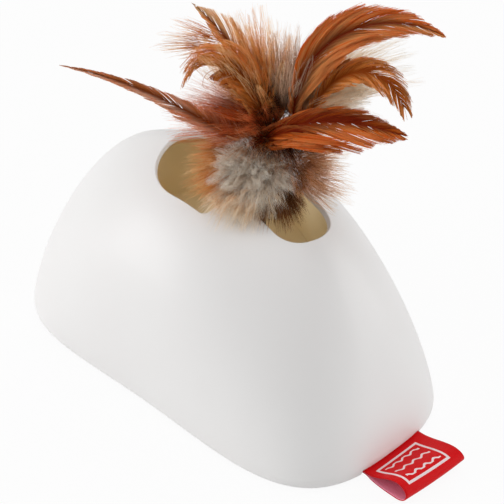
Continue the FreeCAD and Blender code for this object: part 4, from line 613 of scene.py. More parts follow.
@dataclass
class MoundShell:
    """The moulded mound: a superellipse in plan whose corners and waist change with height."""

    half_length: float = 98.0
    half_width: float = 54.0
    crown_height: float = 98.8
    wall: float = 2.4
    tuck_height: float = 5.5
    tuck_curve: float = 2.2
    rim_tuck: float = 1.4
    end_rise: float = 1.32
    end_round: float = 3.23
    side_rise: float = 1.9
    side_round: float = 2.25
    square: tuple[float, float] = (2.95, 2.18)
    waist: tuple[float, float] = (0.225, -0.65)
    waist_middle: float = 0.4
    big_centre: float = -2.5
    big_radius: float = 26.0
    big_end: float = 17.0
    small_start: float = 28.7
    small_centre: float = 41.5
    small_radius: float = 13.5
    corner: float = 4.0
    neck: float = 7.5
    tip: float = 2.0
    cap_height: float = 80.0
    spacing: float = 1.7
    quarter_points: int = 90
    flank_rings: int = 44
    rim_loops: tuple[float, ...] = (1.4, 0.7)
    rim_round: float = 0.45
    rim_segments: int = 3
    sharp_degrees: float = 50.0
    notch_half_width: float = 17.6
    notch_top: float = 2.9
    notch_start: float = 85.0
    tuck_levels: tuple[float, ...] = (0.0, 0.7, 1.5, 2.2, 3.8, 4.6)
    edge_gap: float = 0.62
    merge_gap: float = 0.02
    least_swell: float = 1e-3
    fine_points: int = 1200
    halvings: int = 30

    def spans(self, height: np.ndarray) -> tuple[np.ndarray, ...]:
        """Works out the outline's measures at some heights.

        Args:
            height: Heights in millimetres.

        Returns:
            Half length, half width, the outline's power and its waist.
        """
        rise = np.clip((height - self.tuck_height) / (self.crown_height - self.tuck_height), 0, 1)
        low = np.clip((self.tuck_height - height) / self.tuck_height, 0, 1) ** self.tuck_curve
        tuck = 1 - self.rim_tuck / self.half_length * low
        reach = (1 - rise ** self.end_rise) ** (1 / self.end_round) * tuck
        side = (1 - rise ** self.side_rise) ** (1 / self.side_round) * tuck
        share = height / self.crown_height
        power = self.square[0] + (self.square[1] - self.square[0]) * share ** 2
        waist = self.waist[0] + (self.waist[1] - self.waist[0]) * share
        return self.half_length * reach, self.half_width * side, power, waist

    def inside(self, x: np.ndarray, y: np.ndarray, height: np.ndarray) -> np.ndarray:
        """Tells which points lie within the outline at a height.

        Args:
            x: Places along the mound.
            y: Places across it.
            height: The height of each point.

        Returns:
            True for each point within.
        """
        length, width, power, waist = self.spans(height)
        along = np.abs(x) / np.maximum(length, TINY)
        swell = np.maximum(1 + waist * (along ** 2 - self.waist_middle), self.least_swell)
        across = np.abs(y) / np.maximum(width * swell, TINY)
        return along ** power + across ** power < 1

    def heights(self, x: np.ndarray, y: np.ndarray) -> np.ndarray:
        """Finds the mound's height over points of its plan, by halving.

        Args:
            x: Places along the mound.
            y: Places across it.

        Returns:
            The height over each point, or the tuck's height outside the plan.
        """
        low, high = np.full(x.shape, self.tuck_height), np.full(x.shape, self.crown_height)
        for _ in range(self.halvings):
            middle = (low + high) / 2
            within = self.inside(x, y, middle)
            low, high = np.where(within, middle, low), np.where(within, high, middle)
        return (low + high) / 2

    def section(self, height: float) -> np.ndarray:
        """Draws the outline at one height, with evenly spaced points.

        Args:
            height: The height in millimetres.

        Returns:
            Points of the whole outline, anticlockwise from the end with the tag.
        """
        length, width, power, waist = self.spans(np.array(float(height)))
        turn = np.linspace(0, math.pi / 2, self.fine_points)
        along, across = np.cos(turn).clip(0) ** (2 / power), np.sin(turn) ** (2 / power)
        x, y = length * along, width * across * (1 + waist * (along ** 2 - self.waist_middle))
        run = np.concatenate([[0], np.cumsum(np.hypot(np.diff(x), np.diff(y)))])
        even = np.linspace(0, run[-1], self.quarter_points + 1)
        quarter = np.stack([np.interp(even, run, x), np.interp(even, run, y)], 1)
        half = np.concatenate([quarter[:-1], (quarter * (-1, 1))[::-1]])
        return np.concatenate([half[:-1], (half * (-1, -1))[:-1]])

    def opening(self, offset: float) -> np.ndarray:
        """Draws the opening's outline, moved into the shell by an offset.

        Args:
            offset: The distance from the opening's own edge.

        Returns:
            Points of the whole outline, as many for every offset.
        """
        big, small, corner = self.big_radius, self.small_radius, self.corner
        first, last, neck, tip = self.big_end, self.small_start, self.neck, self.tip
        # Centre, radius, first and last angle, steps of the arc, and points on the straight run after it
        bends = (
            (self.big_centre, 0, big + offset, 180, 90, 40, 14),
            (first - corner, big - corner, corner + offset, 90, 0, 8, 11),
            (first + tip, neck + tip, tip - offset, 180, 270, 6, 7),
            (last - tip, neck + tip, tip - offset, 270, 360, 6, 0),
            (last + corner, small - corner, corner + offset, 180, 90, 8, 8),
            (self.small_centre, 0, small + offset, 90, 0, 24, 0),
        )
        points: list[np.ndarray] = []
        for place, (x, y, radius, start, end, steps, run) in enumerate(bends):
            turns = np.radians(np.linspace(start, end, steps + 1))
            arc = np.stack([x + radius * np.cos(turns), y + radius * np.sin(turns)], 1)
            points.append(arc if run or place + 1 == len(bends) else arc[:-1])
            if run:
                x, y, radius, start = bends[place + 1][:4]
                begin = np.array([x + radius * math.cos(math.radians(start)),
                                  y + radius * math.sin(math.radians(start))])
                share = np.linspace(0, 1, run + 2)[1:-1, None]
                points.append(arc[-1] + (begin - arc[-1]) * share)
        upper = np.concatenate(points)
        return np.concatenate([upper, (upper * (1, -1))[-2:0:-1]])

    def build_cap(self, mesh: bmesh.types.BMesh) -> None:
        """Lays an even net over the crown, from the flank's top ring inwards, and rims the opening.

        Args:
            mesh: The bmesh that takes the faces.
        """
        outer, rim = self.section(self.cap_height), self.opening(self.rim_loops[0])
        rows = np.arange(-self.half_width, self.half_width, self.spacing * math.sqrt(3) / 2)
        columns = np.arange(-self.half_length, self.half_length, self.spacing)
        x, y = np.meshgrid(columns, rows)
        x = x + (np.arange(len(rows)) % 2)[:, None] * self.spacing / 2
        grid = np.stack([x.ravel(), y.ravel()], 1)
        grid = grid[inside_outline(grid, outer) & ~inside_outline(grid, rim)]
        for edge in (outer, rim):
            apart = np.hypot(*(grid[:, None] - edge[None]).transpose(2, 0, 1)).min(1)
            grid = grid[apart > self.edge_gap * self.spacing]
        points = np.concatenate([outer, rim, grid])
        loops = [np.arange(len(outer)), len(outer) + np.arange(len(rim))]
        edges = [(int(a), int(b)) for loop in loops for a, b in zip(loop, np.roll(loop, -1))]
        plan, _, faces, _, _, _ = delaunay_2d_cdt([Vector(point) for point in points], edges, [], 0, TINY)
        plan = np.array(plan)
        middles = plan[np.array(faces)].mean(1)
        keep = inside_outline(middles, outer) & ~inside_outline(middles, rim)
        height = self.heights(plan[:, 0], plan[:, 1])
        height[:len(outer)] = self.cap_height
        corners = [mesh.verts.new((px * MM, py * MM, pz * MM)) for (px, py), pz in zip(plan, height)]
        for face, kept in zip(faces, keep):
            if kept:
                mesh.faces.new([corners[corner] for corner in face])
        bmesh.ops.delete(mesh, geom=[corner for corner in corners if not corner.link_faces], context="VERTS")
        for start, end in zip(self.rim_loops, (*self.rim_loops[1:], 0.0)):
            self.build_band(mesh, self.opening(start), self.opening(end))

    def build_band(self, mesh: bmesh.types.BMesh, outside: np.ndarray, inside: np.ndarray) -> None:
        """Bridges two outlines that lie on the crown.

        Args:
            mesh: The bmesh that takes the faces.
            outside: The outer outline.
            inside: The inner outline, with as many points.
        """
        edges = []
        for outline in (outside, inside):
            height = self.heights(outline[:, 0], outline[:, 1])
            ring = [mesh.verts.new((x * MM, y * MM, z * MM)) for (x, y), z in zip(outline, height)]
            edges += [mesh.edges.new((a, b)) for a, b in zip(ring, ring[1:] + ring[:1])]
        bmesh.ops.bridge_loops(mesh, edges=edges)

    def build_flank(self, mesh: bmesh.types.BMesh) -> None:
        """Wraps a grid round the mound from the base to the crown and opens the tag's notch in it.

        Args:
            mesh: The bmesh that takes the faces.
        """
        low = np.sort([*self.tuck_levels, self.notch_top])
        high = np.linspace(self.tuck_height, self.cap_height, self.flank_rings)
        levels = np.concatenate([low, high])
        around = 4 * self.quarter_points
        grid = bmesh.new()
        made = bmesh.ops.create_grid(grid, x_segments=around, y_segments=len(levels) - 1, size=1.0)
        corners = sorted(made["verts"], key=lambda corner: corner.index)
        for row, level in enumerate(levels):
            outline = self.section(level)
            for column in range(around + 1):
                x, y = outline[column % around]
                corners[row * (around + 1) + column].co = (x * MM, y * MM, level * MM)
        notch = [face for face in grid.faces
                 if face.calc_center_median().z < self.notch_top * MM
                 and abs(face.calc_center_median().y) < self.notch_half_width * MM
                 and face.calc_center_median().x > self.notch_start * MM]
        bmesh.ops.delete(grid, geom=notch, context="FACES")
        flank = bpy.data.meshes.new("flank")
        grid.to_mesh(flank)
        grid.free()
        mesh.from_mesh(flank)
        bpy.data.meshes.remove(flank)

    def build(self) -> bpy.types.Object:
        """Builds and dresses the shell.

        Returns:
            The shell's object, which rides on the root body.
        """
        mesh = bmesh.new()
        self.build_cap(mesh)
        self.build_flank(mesh)
        bmesh.ops.remove_doubles(mesh, verts=mesh.verts, dist=self.merge_gap * MM)
        bmesh.ops.recalc_face_normals(mesh, faces=mesh.faces)
        finish = MouldedPlastic("gloss_white_abs", "#F3F1F0", "#F5F4F3", 0.46, grain_mm=0.6,
                                grain_depth_mm=0.006, flow_mm=60.0, coat=0.06)
        shell = finish_mesh("mound_shell", mesh, [finish.build()])
        wall = shell.modifiers.new("wall", "SOLIDIFY")
        wall.thickness = self.wall * MM
        wall.offset = -1.0
        wall.use_even_offset = True
        edge = shell.modifiers.new("rounded_edges", "BEVEL")
        edge.width = self.rim_round * MM
        edge.segments = self.rim_segments
        edge.limit_method = "ANGLE"
        edge.angle_limit = math.radians(self.sharp_degrees)
        edge.harden_normals = True
        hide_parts("top_shell")
        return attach(shell, "root")


def inside_outline(points: np.ndarray, outline: np.ndarray) -> np.ndarray:
    """Tells which points lie within a closed outline, by counting crossings.

    Args:
        points: Points of the plan.
        outline: The outline's corners in order.

    Returns:
        True for each point within.
    """
    start, end = outline, np.roll(outline, -1, 0)
    x, y = points[:, 0, None], points[:, 1, None]
    spans = (start[None, :, 1] > y) != (end[None, :, 1] > y)
    rise = np.where(spans, end[None, :, 1] - start[None, :, 1], 1.0)
    cross = start[None, :, 0] + (y - start[None, :, 1]) * (end[None, :, 0] - start[None, :, 0]) / rise
    return (spans & (x < cross)).sum(1) % 2 == 1


@dataclass
class RibbonTag:
    """The folded ribbon at the mound's end: a strip that leaves the notch, rolls over and goes back in."""

    width: float = 34.0
    thickness: float = 0.45
    along_steps: int = 96
    across_steps: int = 36
    sag: float = 2.2
    crown: float = 0.5
    skew: float = 1.8
    roll_foot: float = 2.3
    roll_rise: float = 5.4
    free_start: float = 99.0
    free_run: float = 12.0
    curve_steps: int = 12
    path: tuple[tuple[float, float], ...] = (
        (90.0, 2.35), (95.0, 2.35), (98.4, 2.2), (101.0, 2.5), (104.5, 4.0), (109.0, 6.4), (113.2, 7.7),
        (116.6, 6.9), (118.6, 4.4), (118.3, 1.6), (115.6, -0.3), (111.5, -0.55), (105.5, -0.25),
        (101.0, 0.5), (98.4, 1.5), (95.0, 1.65), (90.0, 1.65))

    def station(self, share: float) -> np.ndarray:
        """Draws the strip's run at one place across it.

        Args:
            share: 0 at the near edge and 1 at the far edge.

        Returns:
            Evenly spaced points (x, z) in millimetres.
        """
        points = np.array(self.path)
        high = np.clip((points[:, 1] - self.roll_foot) / self.roll_rise, 0, 1)
        points[:, 1] -= high * self.sag * share
        out = np.clip((points[:, 0] - self.free_start) / self.free_run, 0, 1)
        points[:, 0] += out * (self.crown * math.sin(math.pi * share) + self.skew * share)
        curve = []
        for before, start, end, after in zip(points[:-3], points[1:-2], points[2:-1], points[3:]):
            for step in np.linspace(0, 1, self.curve_steps, endpoint=False):
                curve.append(0.5 * (2 * start + (end - before) * step
                                    + (2 * before - 5 * start + 4 * end - after) * step ** 2
                                    + (3 * start - before - 3 * end + after) * step ** 3))
        line = np.array([points[0], *curve, points[-2], points[-1]])
        run = np.concatenate([[0], np.cumsum(np.hypot(*np.diff(line, axis=0).T))])
        even = np.linspace(0, run[-1], self.along_steps + 1)
        return np.stack([np.interp(even, run, line[:, 0]), np.interp(even, run, line[:, 1])], 1)

    def length(self) -> float:
        """The strip's own length in millimetres, at its middle."""
        return float(np.hypot(*np.diff(self.station(0.5), axis=0).T).sum())

    def build(self) -> bpy.types.Object:
        """Builds and dresses the tag.

        Returns:
            The tag's object, which rides on the root body.
        """
        mesh = bmesh.new()
        made = bmesh.ops.create_grid(mesh, x_segments=self.along_steps, y_segments=self.across_steps,
                                     size=1.0)
        corners = sorted(made["verts"], key=lambda corner: corner.index)
        uv_layer = mesh.loops.layers.uv.new("Ribbon")
        places = {}
        for row in range(self.across_steps + 1):
            share = row / self.across_steps
            line = self.station(share)
            for column, (x, z) in enumerate(line):
                corner = corners[row * (self.along_steps + 1) + column]
                corner.co = (x * MM, (share - 0.5) * self.width * MM, z * MM)
                places[corner] = (column / self.along_steps, share)
        for face in mesh.faces:
            for loop in face.loops:
                loop[uv_layer].uv = places[loop.vert]
        length = self.length()
        front = WovenRibbon("woven_ribbon_face", "#DC0008", "#E00812", "#FBE6E8", self.width, length)
        # The reverse is pink, written lighter than its own colour: painted light for the shaded inside of
        # the fold
        back = WovenRibbon("ribbon_reverse_painted_light", "#F27898", "#FAB4C6", "#FBE6E8", self.width, length,
                           with_figure=False)
        tag = finish_mesh("ribbon_tag", mesh, [front.build(), back.build()])
        thick = tag.modifiers.new("thickness", "SOLIDIFY")
        thick.thickness = self.thickness * MM
        thick.offset = 0.0
        thick.material_offset = 1
        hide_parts("woven_tag")
        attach(tag, "root")
        return tag


@dataclass
class Strands:
    """Hairs gathered in batches, then swept into one mesh with a three-sided section."""

    name: str
    points: list[np.ndarray] = field(default_factory=list)
    radii: list[np.ndarray] = field(default_factory=list)
    shades: list[np.ndarray] = field(default_factory=list)
    places: list[np.ndarray] = field(default_factory=list)

    def add(self, points: np.ndarray, radii: np.ndarray, shade: np.ndarray, place: np.ndarray) -> None:
        """Takes a batch of hairs that have equally many points.

        Args:
            points: Hairs by points by axes, in millimetres.
            radii: Hairs by points, in millimetres.
            shade: One number from 0 to 1 for each hair.
            place: Where each hair grows along its quill, from 0 to 1.
        """
        self.points.append(points)
        self.radii.append(radii)
        self.shades.append(shade)
        self.places.append(place)

    def sweep(self) -> bpy.types.Mesh:
        """Sweeps a triangle along every hair.

        Returns:
            The mesh, with each hair's rings in order from root to tip.
        """
        profile = bpy.data.curves.new("profile", "CURVE")
        section = profile.splines.new("POLY")
        section.points.add(SECTION_CORNERS - 1)
        for corner, point in enumerate(section.points):
            turn = 2 * math.pi * corner / SECTION_CORNERS
            point.co = (math.cos(turn), math.sin(turn), 0, 1)
        section.use_cyclic_u = True
        triangle = bpy.data.objects.new("profile", profile)
        curve = bpy.data.curves.new(self.name, "CURVE")
        curve.dimensions = "3D"
        curve.bevel_mode = "OBJECT"
        curve.bevel_object = triangle
        for points, radii in zip(self.points, self.radii):
            rows = np.concatenate([points * MM, np.ones((*points.shape[:2], 1))], 2)
            for hair, widths in zip(rows, radii):
                spline = curve.splines.new("POLY")
                spline.points.add(len(hair) - 1)
                spline.points.foreach_set("co", hair.ravel())
                spline.points.foreach_set("radius", widths * MM)
        swept = bpy.data.objects.new(self.name, curve)
        for piece in (triangle, swept):
            bpy.context.scene.collection.objects.link(piece)
        graph = bpy.context.evaluated_depsgraph_get()
        data = bpy.data.meshes.new_from_object(swept.evaluated_get(graph))
        for piece in (swept, triangle):
            bpy.data.objects.remove(piece)
        mesh = bmesh.new()
        mesh.from_mesh(data)
        ends = [edge for edge in mesh.edges if edge.is_boundary]
        bmesh.ops.holes_fill(mesh, edges=ends, sides=SECTION_CORNERS)
        mesh.to_mesh(data)
        mesh.free()
        return data

    def build(self, finish: Keratin, node_name: str, slot: str) -> bpy.types.Object:
        """Makes the strands one piece with their tints and a map of one small cell for each hair.

        Args:
            finish: What the hairs are made of.
            node_name: The frame's node that they replace.
            slot: The record's slot for their finish; not used.

        Returns:
            The piece, which rides on the wand.
        """
        data = self.sweep()
        along, shade, place, hair = [], [], [], []
        count = 0
        for points, shades, places in zip(self.points, self.shades, self.places):
            hairs, steps = points.shape[:2]
            corners_each = steps * SECTION_CORNERS
            along.append(np.tile(np.repeat(np.linspace(0, 1, steps), SECTION_CORNERS), hairs))
            shade.append(np.repeat(shades, corners_each))
            place.append(np.repeat(places, corners_each))
            hair.append(np.repeat(count + np.arange(hairs), corners_each))
            count += hairs
        values = {"along": np.concatenate(along), "shade": np.concatenate(shade),
                  "place": np.concatenate(place)}
        for name, numbers in values.items():
            data.attributes.new(name, "FLOAT", "POINT").data.foreach_set("value", numbers.astype(np.float32))
        corners = np.empty(len(data.loops), np.int32)
        data.loops.foreach_get("vertex_index", corners)
        cells = math.ceil(math.sqrt(count))
        index = np.concatenate(hair)[corners]
        cell = np.stack([index % cells, index // cells], 1)
        turned = corners % SECTION_CORNERS / (SECTION_CORNERS - 1)
        within = np.stack([turned, values["along"][corners]], 1)
        uv = (cell + CELL_MARGIN + (1 - 2 * CELL_MARGIN) * within) / cells
        for layer in list(data.uv_layers):
            data.uv_layers.remove(layer)
        data.uv_layers.new(name="OFBake").data.foreach_set("uv", uv.astype(np.float32).ravel())
        data.polygons.foreach_set("use_smooth", [True] * len(data.polygons))
        data.materials.clear()
        data.materials.append(finish.build())
        piece = bpy.data.objects.new(self.name, data)
        bpy.context.scene.collection.objects.link(piece)
        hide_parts(node_name)
        LOG.info("%s: %d hairs, %d faces", self.name, count, len(data.polygons))
        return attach(piece, "wand")


@dataclass(frozen=True)
class Picture:
    """The photograph's directions and the foot of the tuft, by the middle of the ferrule."""

    foot: np.ndarray
    right: np.ndarray
    up: np.ndarray
    near: np.ndarray

    def points(self, places: np.ndarray) -> np.ndarray:
        """Turns places seen in the photograph into the mound's own axes.

        Args:
            places: Millimetres to the right, up and towards the camera from the foot, on the last axis.

        Returns:
            The points in millimetres.
        """
        return self.foot + places @ np.stack([self.right, self.up, self.near])


def unit(ways: np.ndarray) -> np.ndarray:
    """Scales directions to a length of 1."""
    return ways / np.maximum(np.linalg.norm(ways, axis=-1, keepdims=True), 1e-9)


@dataclass(frozen=True)
class Spray:
    """Down from a soft clump of roots, in the photograph's directions: fine barbs in small locks."""

    centre: tuple[float, float, float]
    size: tuple[float, float, float]
    way: tuple[float, float, float]
    reach: tuple[float, float]
    hairs: int
    fan: float
    bend: tuple[float, float, float] = (0.0, -0.12, 0.0)
    locks: int = 160
    clump: float = 0.35
    wave: float = 0.035
    stray: float = 0.12
    radius: float = 0.07
    # Powers: how locks crowd outwards, how many are short, how hairs join their lock and begin to wave
    crowd_power: float = 0.4
    short_power: float = 1.3
    join_power: float = 1.5
    wave_power: float = 0.7
    # What each hair has at least, and what chance adds: length and thickness as shares, and waves
    lengths: tuple[float, float] = (0.7, 0.4)
    widths: tuple[float, float] = (0.8, 0.4)
    waves: tuple[float, float] = (1.0, 1.5)
    # How much of a hair's tone its lock gives, and how much is its own
    tones: tuple[float, float] = (0.55, 0.45)

    def grow(self, strands: Strands, picture: Picture, random: np.random.Generator,
             shell: MoundShell) -> None:
        """Adds the spray's hairs.

        Args:
            strands: The strands that take them.
            picture: The photograph's directions.
            random: The source of the small differences.
            shell: The mound that the hairs may lie on.
        """
        short, long = self.reach
        heart = unit(random.normal(size=(self.locks, 3)))
        heart = heart * random.random((self.locks, 1)) ** self.crowd_power
        heart_reach = short + (long - short) * random.random(self.locks) ** self.short_power
        lock = random.integers(0, self.locks, self.hairs)
        place = heart[lock] + random.normal(0, self.stray, (self.hairs, 3))
        reach = heart_reach[lock] * (self.lengths[0] + self.lengths[1] * random.random(self.hairs))
        way = unit(np.array(self.way) + self.fan * place + random.normal(0, self.stray, (self.hairs, 3)))
        heart_way = unit(np.array(self.way) + self.fan * heart)
        steps = np.linspace(0, 1, HAIR_POINTS)
        own = self.paths(place, way, reach, steps)
        shared = self.paths(heart, heart_way, heart_reach, steps)[lock]
        hairs = own + (self.clump * steps ** self.join_power)[None, :, None] * (shared - own)
        swing_way = unit(random.normal(size=(self.hairs, 1, 3)))
        phase = random.random((self.hairs, 1)) * 2 * math.pi
        rate = (self.waves[0] + self.waves[1] * random.random((self.hairs, 1))) * 2 * math.pi
        swing = np.sin(phase + rate * steps) * steps ** self.wave_power * self.wave * reach[:, None]
        hairs = lay_on(picture.points(hairs + swing[:, :, None] * swing_way), shell)
        fine = np.interp(steps, *HAIR_TAPER) * self.radius
        lock_tone = self.tones[0] * random.random(self.locks)[lock]
        shade = np.clip(lock_tone + self.tones[1] * random.random(self.hairs), 0, 1)
        thick = self.widths[0] + self.widths[1] * random.random((self.hairs, 1))
        strands.add(hairs, fine * thick, shade, reach * 0)

    def paths(self, place: np.ndarray, way: np.ndarray, reach: np.ndarray, steps: np.ndarray) -> np.ndarray:
        """Draws hairs that bend as they run.

        Args:
            place: Where each hair grows, in shares of the clump's size from its centre.
            way: Each hair's first direction.
            reach: Each hair's length in millimetres.
            steps: The places of the points along each hair.

        Returns:
            Hairs by points by axes, in the photograph's directions.
        """
        root = np.array(self.centre) + np.array(self.size) * place
        run = steps[None, :, None]
        later = np.array(self.bend)
        return root[:, None] + reach[:, None, None] * (way[:, None] * run + 0.5 * later * run ** 2)


def lay_on(hairs: np.ndarray, shell: MoundShell, clear: float = 0.35) -> np.ndarray:
    """Lifts hairs that would run through the crown, so that they lie on it.

    Args:
        hairs: Hairs by points by axes.
        shell: The mound.
        clear: How far above it they lie.

    Returns:
        The lifted hairs.
    """
    flat = hairs.reshape(-1, 3).copy()
    x, y, z = flat.T
    over_plan = shell.inside(x, y, np.full(len(flat), shell.tuck_height))
    over_shell = over_plan & ~inside_outline(flat[:, :2], shell.opening(0.0)) & (z > shell.tuck_height)
    floor = shell.heights(x, y) + clear
    flat[:, 2] = np.where(over_shell, np.maximum(z, floor), z)
    return flat.reshape(hairs.shape)


@dataclass(frozen=True)
class Blade:
    """One feather's vane: a curling quill whose long barbs cling in groups and end on the vane's outline."""

    root: tuple[float, float, float]
    head: float
    rise: float
    curl: float
    yaw: float
    length: float
    power: float
    width: float
    barbs: int
    lean: tuple[float, float]
    outline: tuple[float, ...]
    tones: tuple[float, float]
    sides: tuple[float, float] = (1.0, 1.0)
    down: float = 0.16
    cling: float = 0.9
    split: float = 0.45
    ragged: float = 0.08
    cup: float = 10.0
    shift: float = 0.0
    quill_radius: float = 0.34
    radius: float = 0.13
    # Shares of the quill: where barbs end, how the loose down fades out, a barb's run and its root
    first_end: float = 0.06
    end_span: float = 0.95
    down_fade: float = 0.12
    runs: tuple[float, float] = (0.01, 0.55)
    bare_root: float = 0.01
    root_spread: float = 0.04
    # Groups: how far barbs swap places, how often a new group starts, and how unlike groups end
    swap: float = 0.01
    parting: float = 0.09
    uneven: float = 0.3
    fray: float = 0.05
    # Degrees: what loose barbs lean more, how groups tilt, and how loose barbs tilt
    loose_lean: float = 18.0
    group_tilt: float = 7.0
    loose_tilt: float = 28.0
    # Loose barbs are this much longer and thinner, as shares
    loose_reach: float = 0.25
    loose_thin: float = 0.4
    # How fast a barb leaves the quill, and its crimp: phase and waves in radians, sizes in millimetres
    flare_power: float = 1.5
    crimp_phase: float = 7.0
    crimp_waves: float = 8.0
    crimp_size: float = 0.05
    loose_crimp: float = 0.6
    # How tones differ between groups and between barbs
    group_tone: float = 0.14
    barb_tone: float = 0.1

    def quill(self) -> tuple[np.ndarray, np.ndarray]:
        """Follows the quill from its root to its tip.

        Returns:
            Points and directions along it, in millimetres.
        """
        share = (np.arange(QUILL_STEPS) + 0.5) / QUILL_STEPS
        lift = np.radians(self.rise + self.curl * share ** self.power)
        turn = np.radians(self.head + self.yaw * share)
        ways = np.stack([np.cos(lift) * np.cos(turn), np.cos(lift) * np.sin(turn), np.sin(lift)], 1)
        points = np.cumsum(np.concatenate([[self.root], ways * self.length / QUILL_STEPS]), 0)
        return points, np.concatenate([ways, ways[-1:]])

    def grow(self, strands: Strands, picture: Picture, random: np.random.Generator) -> None:
        """Adds the quill and its barbs.

        Args:
            strands: The strands that take them.
            picture: The photograph's directions.
            random: The source of the small differences.
        """
        points, ways = self.quill()
        across = unit(np.cross(ways, picture.near))
        above = np.cross(across, ways)
        points = points + across * self.shift * self.width
        thin = np.interp(np.linspace(0, 1, QUILL_STEPS + 1), *QUILL_TAPER) * self.quill_radius
        strands.add(points[None], thin[None], np.array([0.0]), np.array([1.0]))
        quill_rows = np.concatenate([points, ways, across, above], 1)
        for side, wide_share, tone in zip((-1, 1), self.sides, self.tones):
            self.grow_side(strands, random, quill_rows, side, wide_share, tone)

    def grow_side(self, strands: Strands, random: np.random.Generator, quill_rows: np.ndarray, side: int,
                  wide_share: float, tone: float) -> None:
        """Adds the barbs of one side of the vane.

        Args:
            strands: The strands that take them.
            random: The source of the small differences.
            quill_rows: The quill's points and its directions along, across and above, a row for each step.
            side: -1 or 1, for the side of the quill.
            wide_share: This side's width, as a share of half the vane's.
            tone: This side's tone, from 0 to 1.
        """
        places = np.linspace(0, 1, QUILL_STEPS + 1)
        steps = np.linspace(0, 1, BARB_POINTS)
        end = np.sort(self.first_end + self.end_span * random.random(self.barbs))
        group_count = np.cumsum(random.random(self.barbs) < self.parting)
        group = np.empty(self.barbs, int)
        group[np.argsort(end + self.swap * random.normal(size=self.barbs))] = group_count
        kinds = random.normal(size=(group.max() + 1, 4))[group]
        middle = (np.bincount(group, end) / np.maximum(np.bincount(group), 1))[group]
        loose = np.interp(end, (0, self.down, self.down + self.down_fade), (1.0, 1.0, 0.0))
        profile = np.interp(end, np.linspace(0, 1, len(self.outline)), self.outline)
        wide = self.width / 2 * wide_share * profile
        lean = np.radians(np.interp(end, (0, 1), self.lean) + self.loose_lean * loose)
        run = np.clip(wide / np.tan(lean) / self.length, *self.runs)
        start = np.maximum(end - run, self.bare_root + self.root_spread * random.random(self.barbs))
        wide *= (1 + self.ragged * kinds[:, 0] + self.fray * random.normal(size=self.barbs)
                 + self.loose_reach * loose)
        last = end + self.split * (middle - end) + self.uneven * self.ragged * run * kinds[:, 1]
        along = start[:, None] + (last - start)[:, None] * steps
        rows = np.stack([np.interp(along, places, column) for column in quill_rows.T], 2)
        past = np.maximum(along - 1, 0)[:, :, None] * self.length
        first = rows[:, :1]
        straight = first[..., :3] + first[..., 3:6] * ((along - along[:, :1]) * self.length)[:, :, None]
        spine = self.cling * (rows[..., :3] + past * rows[..., 3:6]) + (1 - self.cling) * straight
        tilt = (self.cup + self.group_tilt * kinds[:, 2]
                + self.loose_tilt * loose * random.normal(size=self.barbs))
        tilt = np.radians(tilt)[:, None, None]
        out = side * rows[..., 6:9] * np.cos(tilt) + rows[..., 9:] * np.sin(tilt)
        rise = (wide[:, None] * (1 - (1 - steps) ** self.flare_power))[:, :, None]
        phase = random.random((self.barbs, 1)) * self.crimp_phase
        crimp_size = (self.crimp_size + self.loose_crimp * loose)[:, None]
        crimp = np.sin(phase + steps * self.crimp_waves) * steps * crimp_size
        hairs = spine + out * rise + crimp[:, :, None] * rows[..., 9:]
        fine = np.interp(steps, *BARB_TAPER) * self.radius
        own_tone = self.barb_tone * random.normal(size=self.barbs)
        shade = np.clip(tone + self.group_tone * kinds[:, 3] + own_tone, 0, 1)
        strands.add(hairs, fine * (1 - self.loose_thin * loose)[:, None], shade, end)


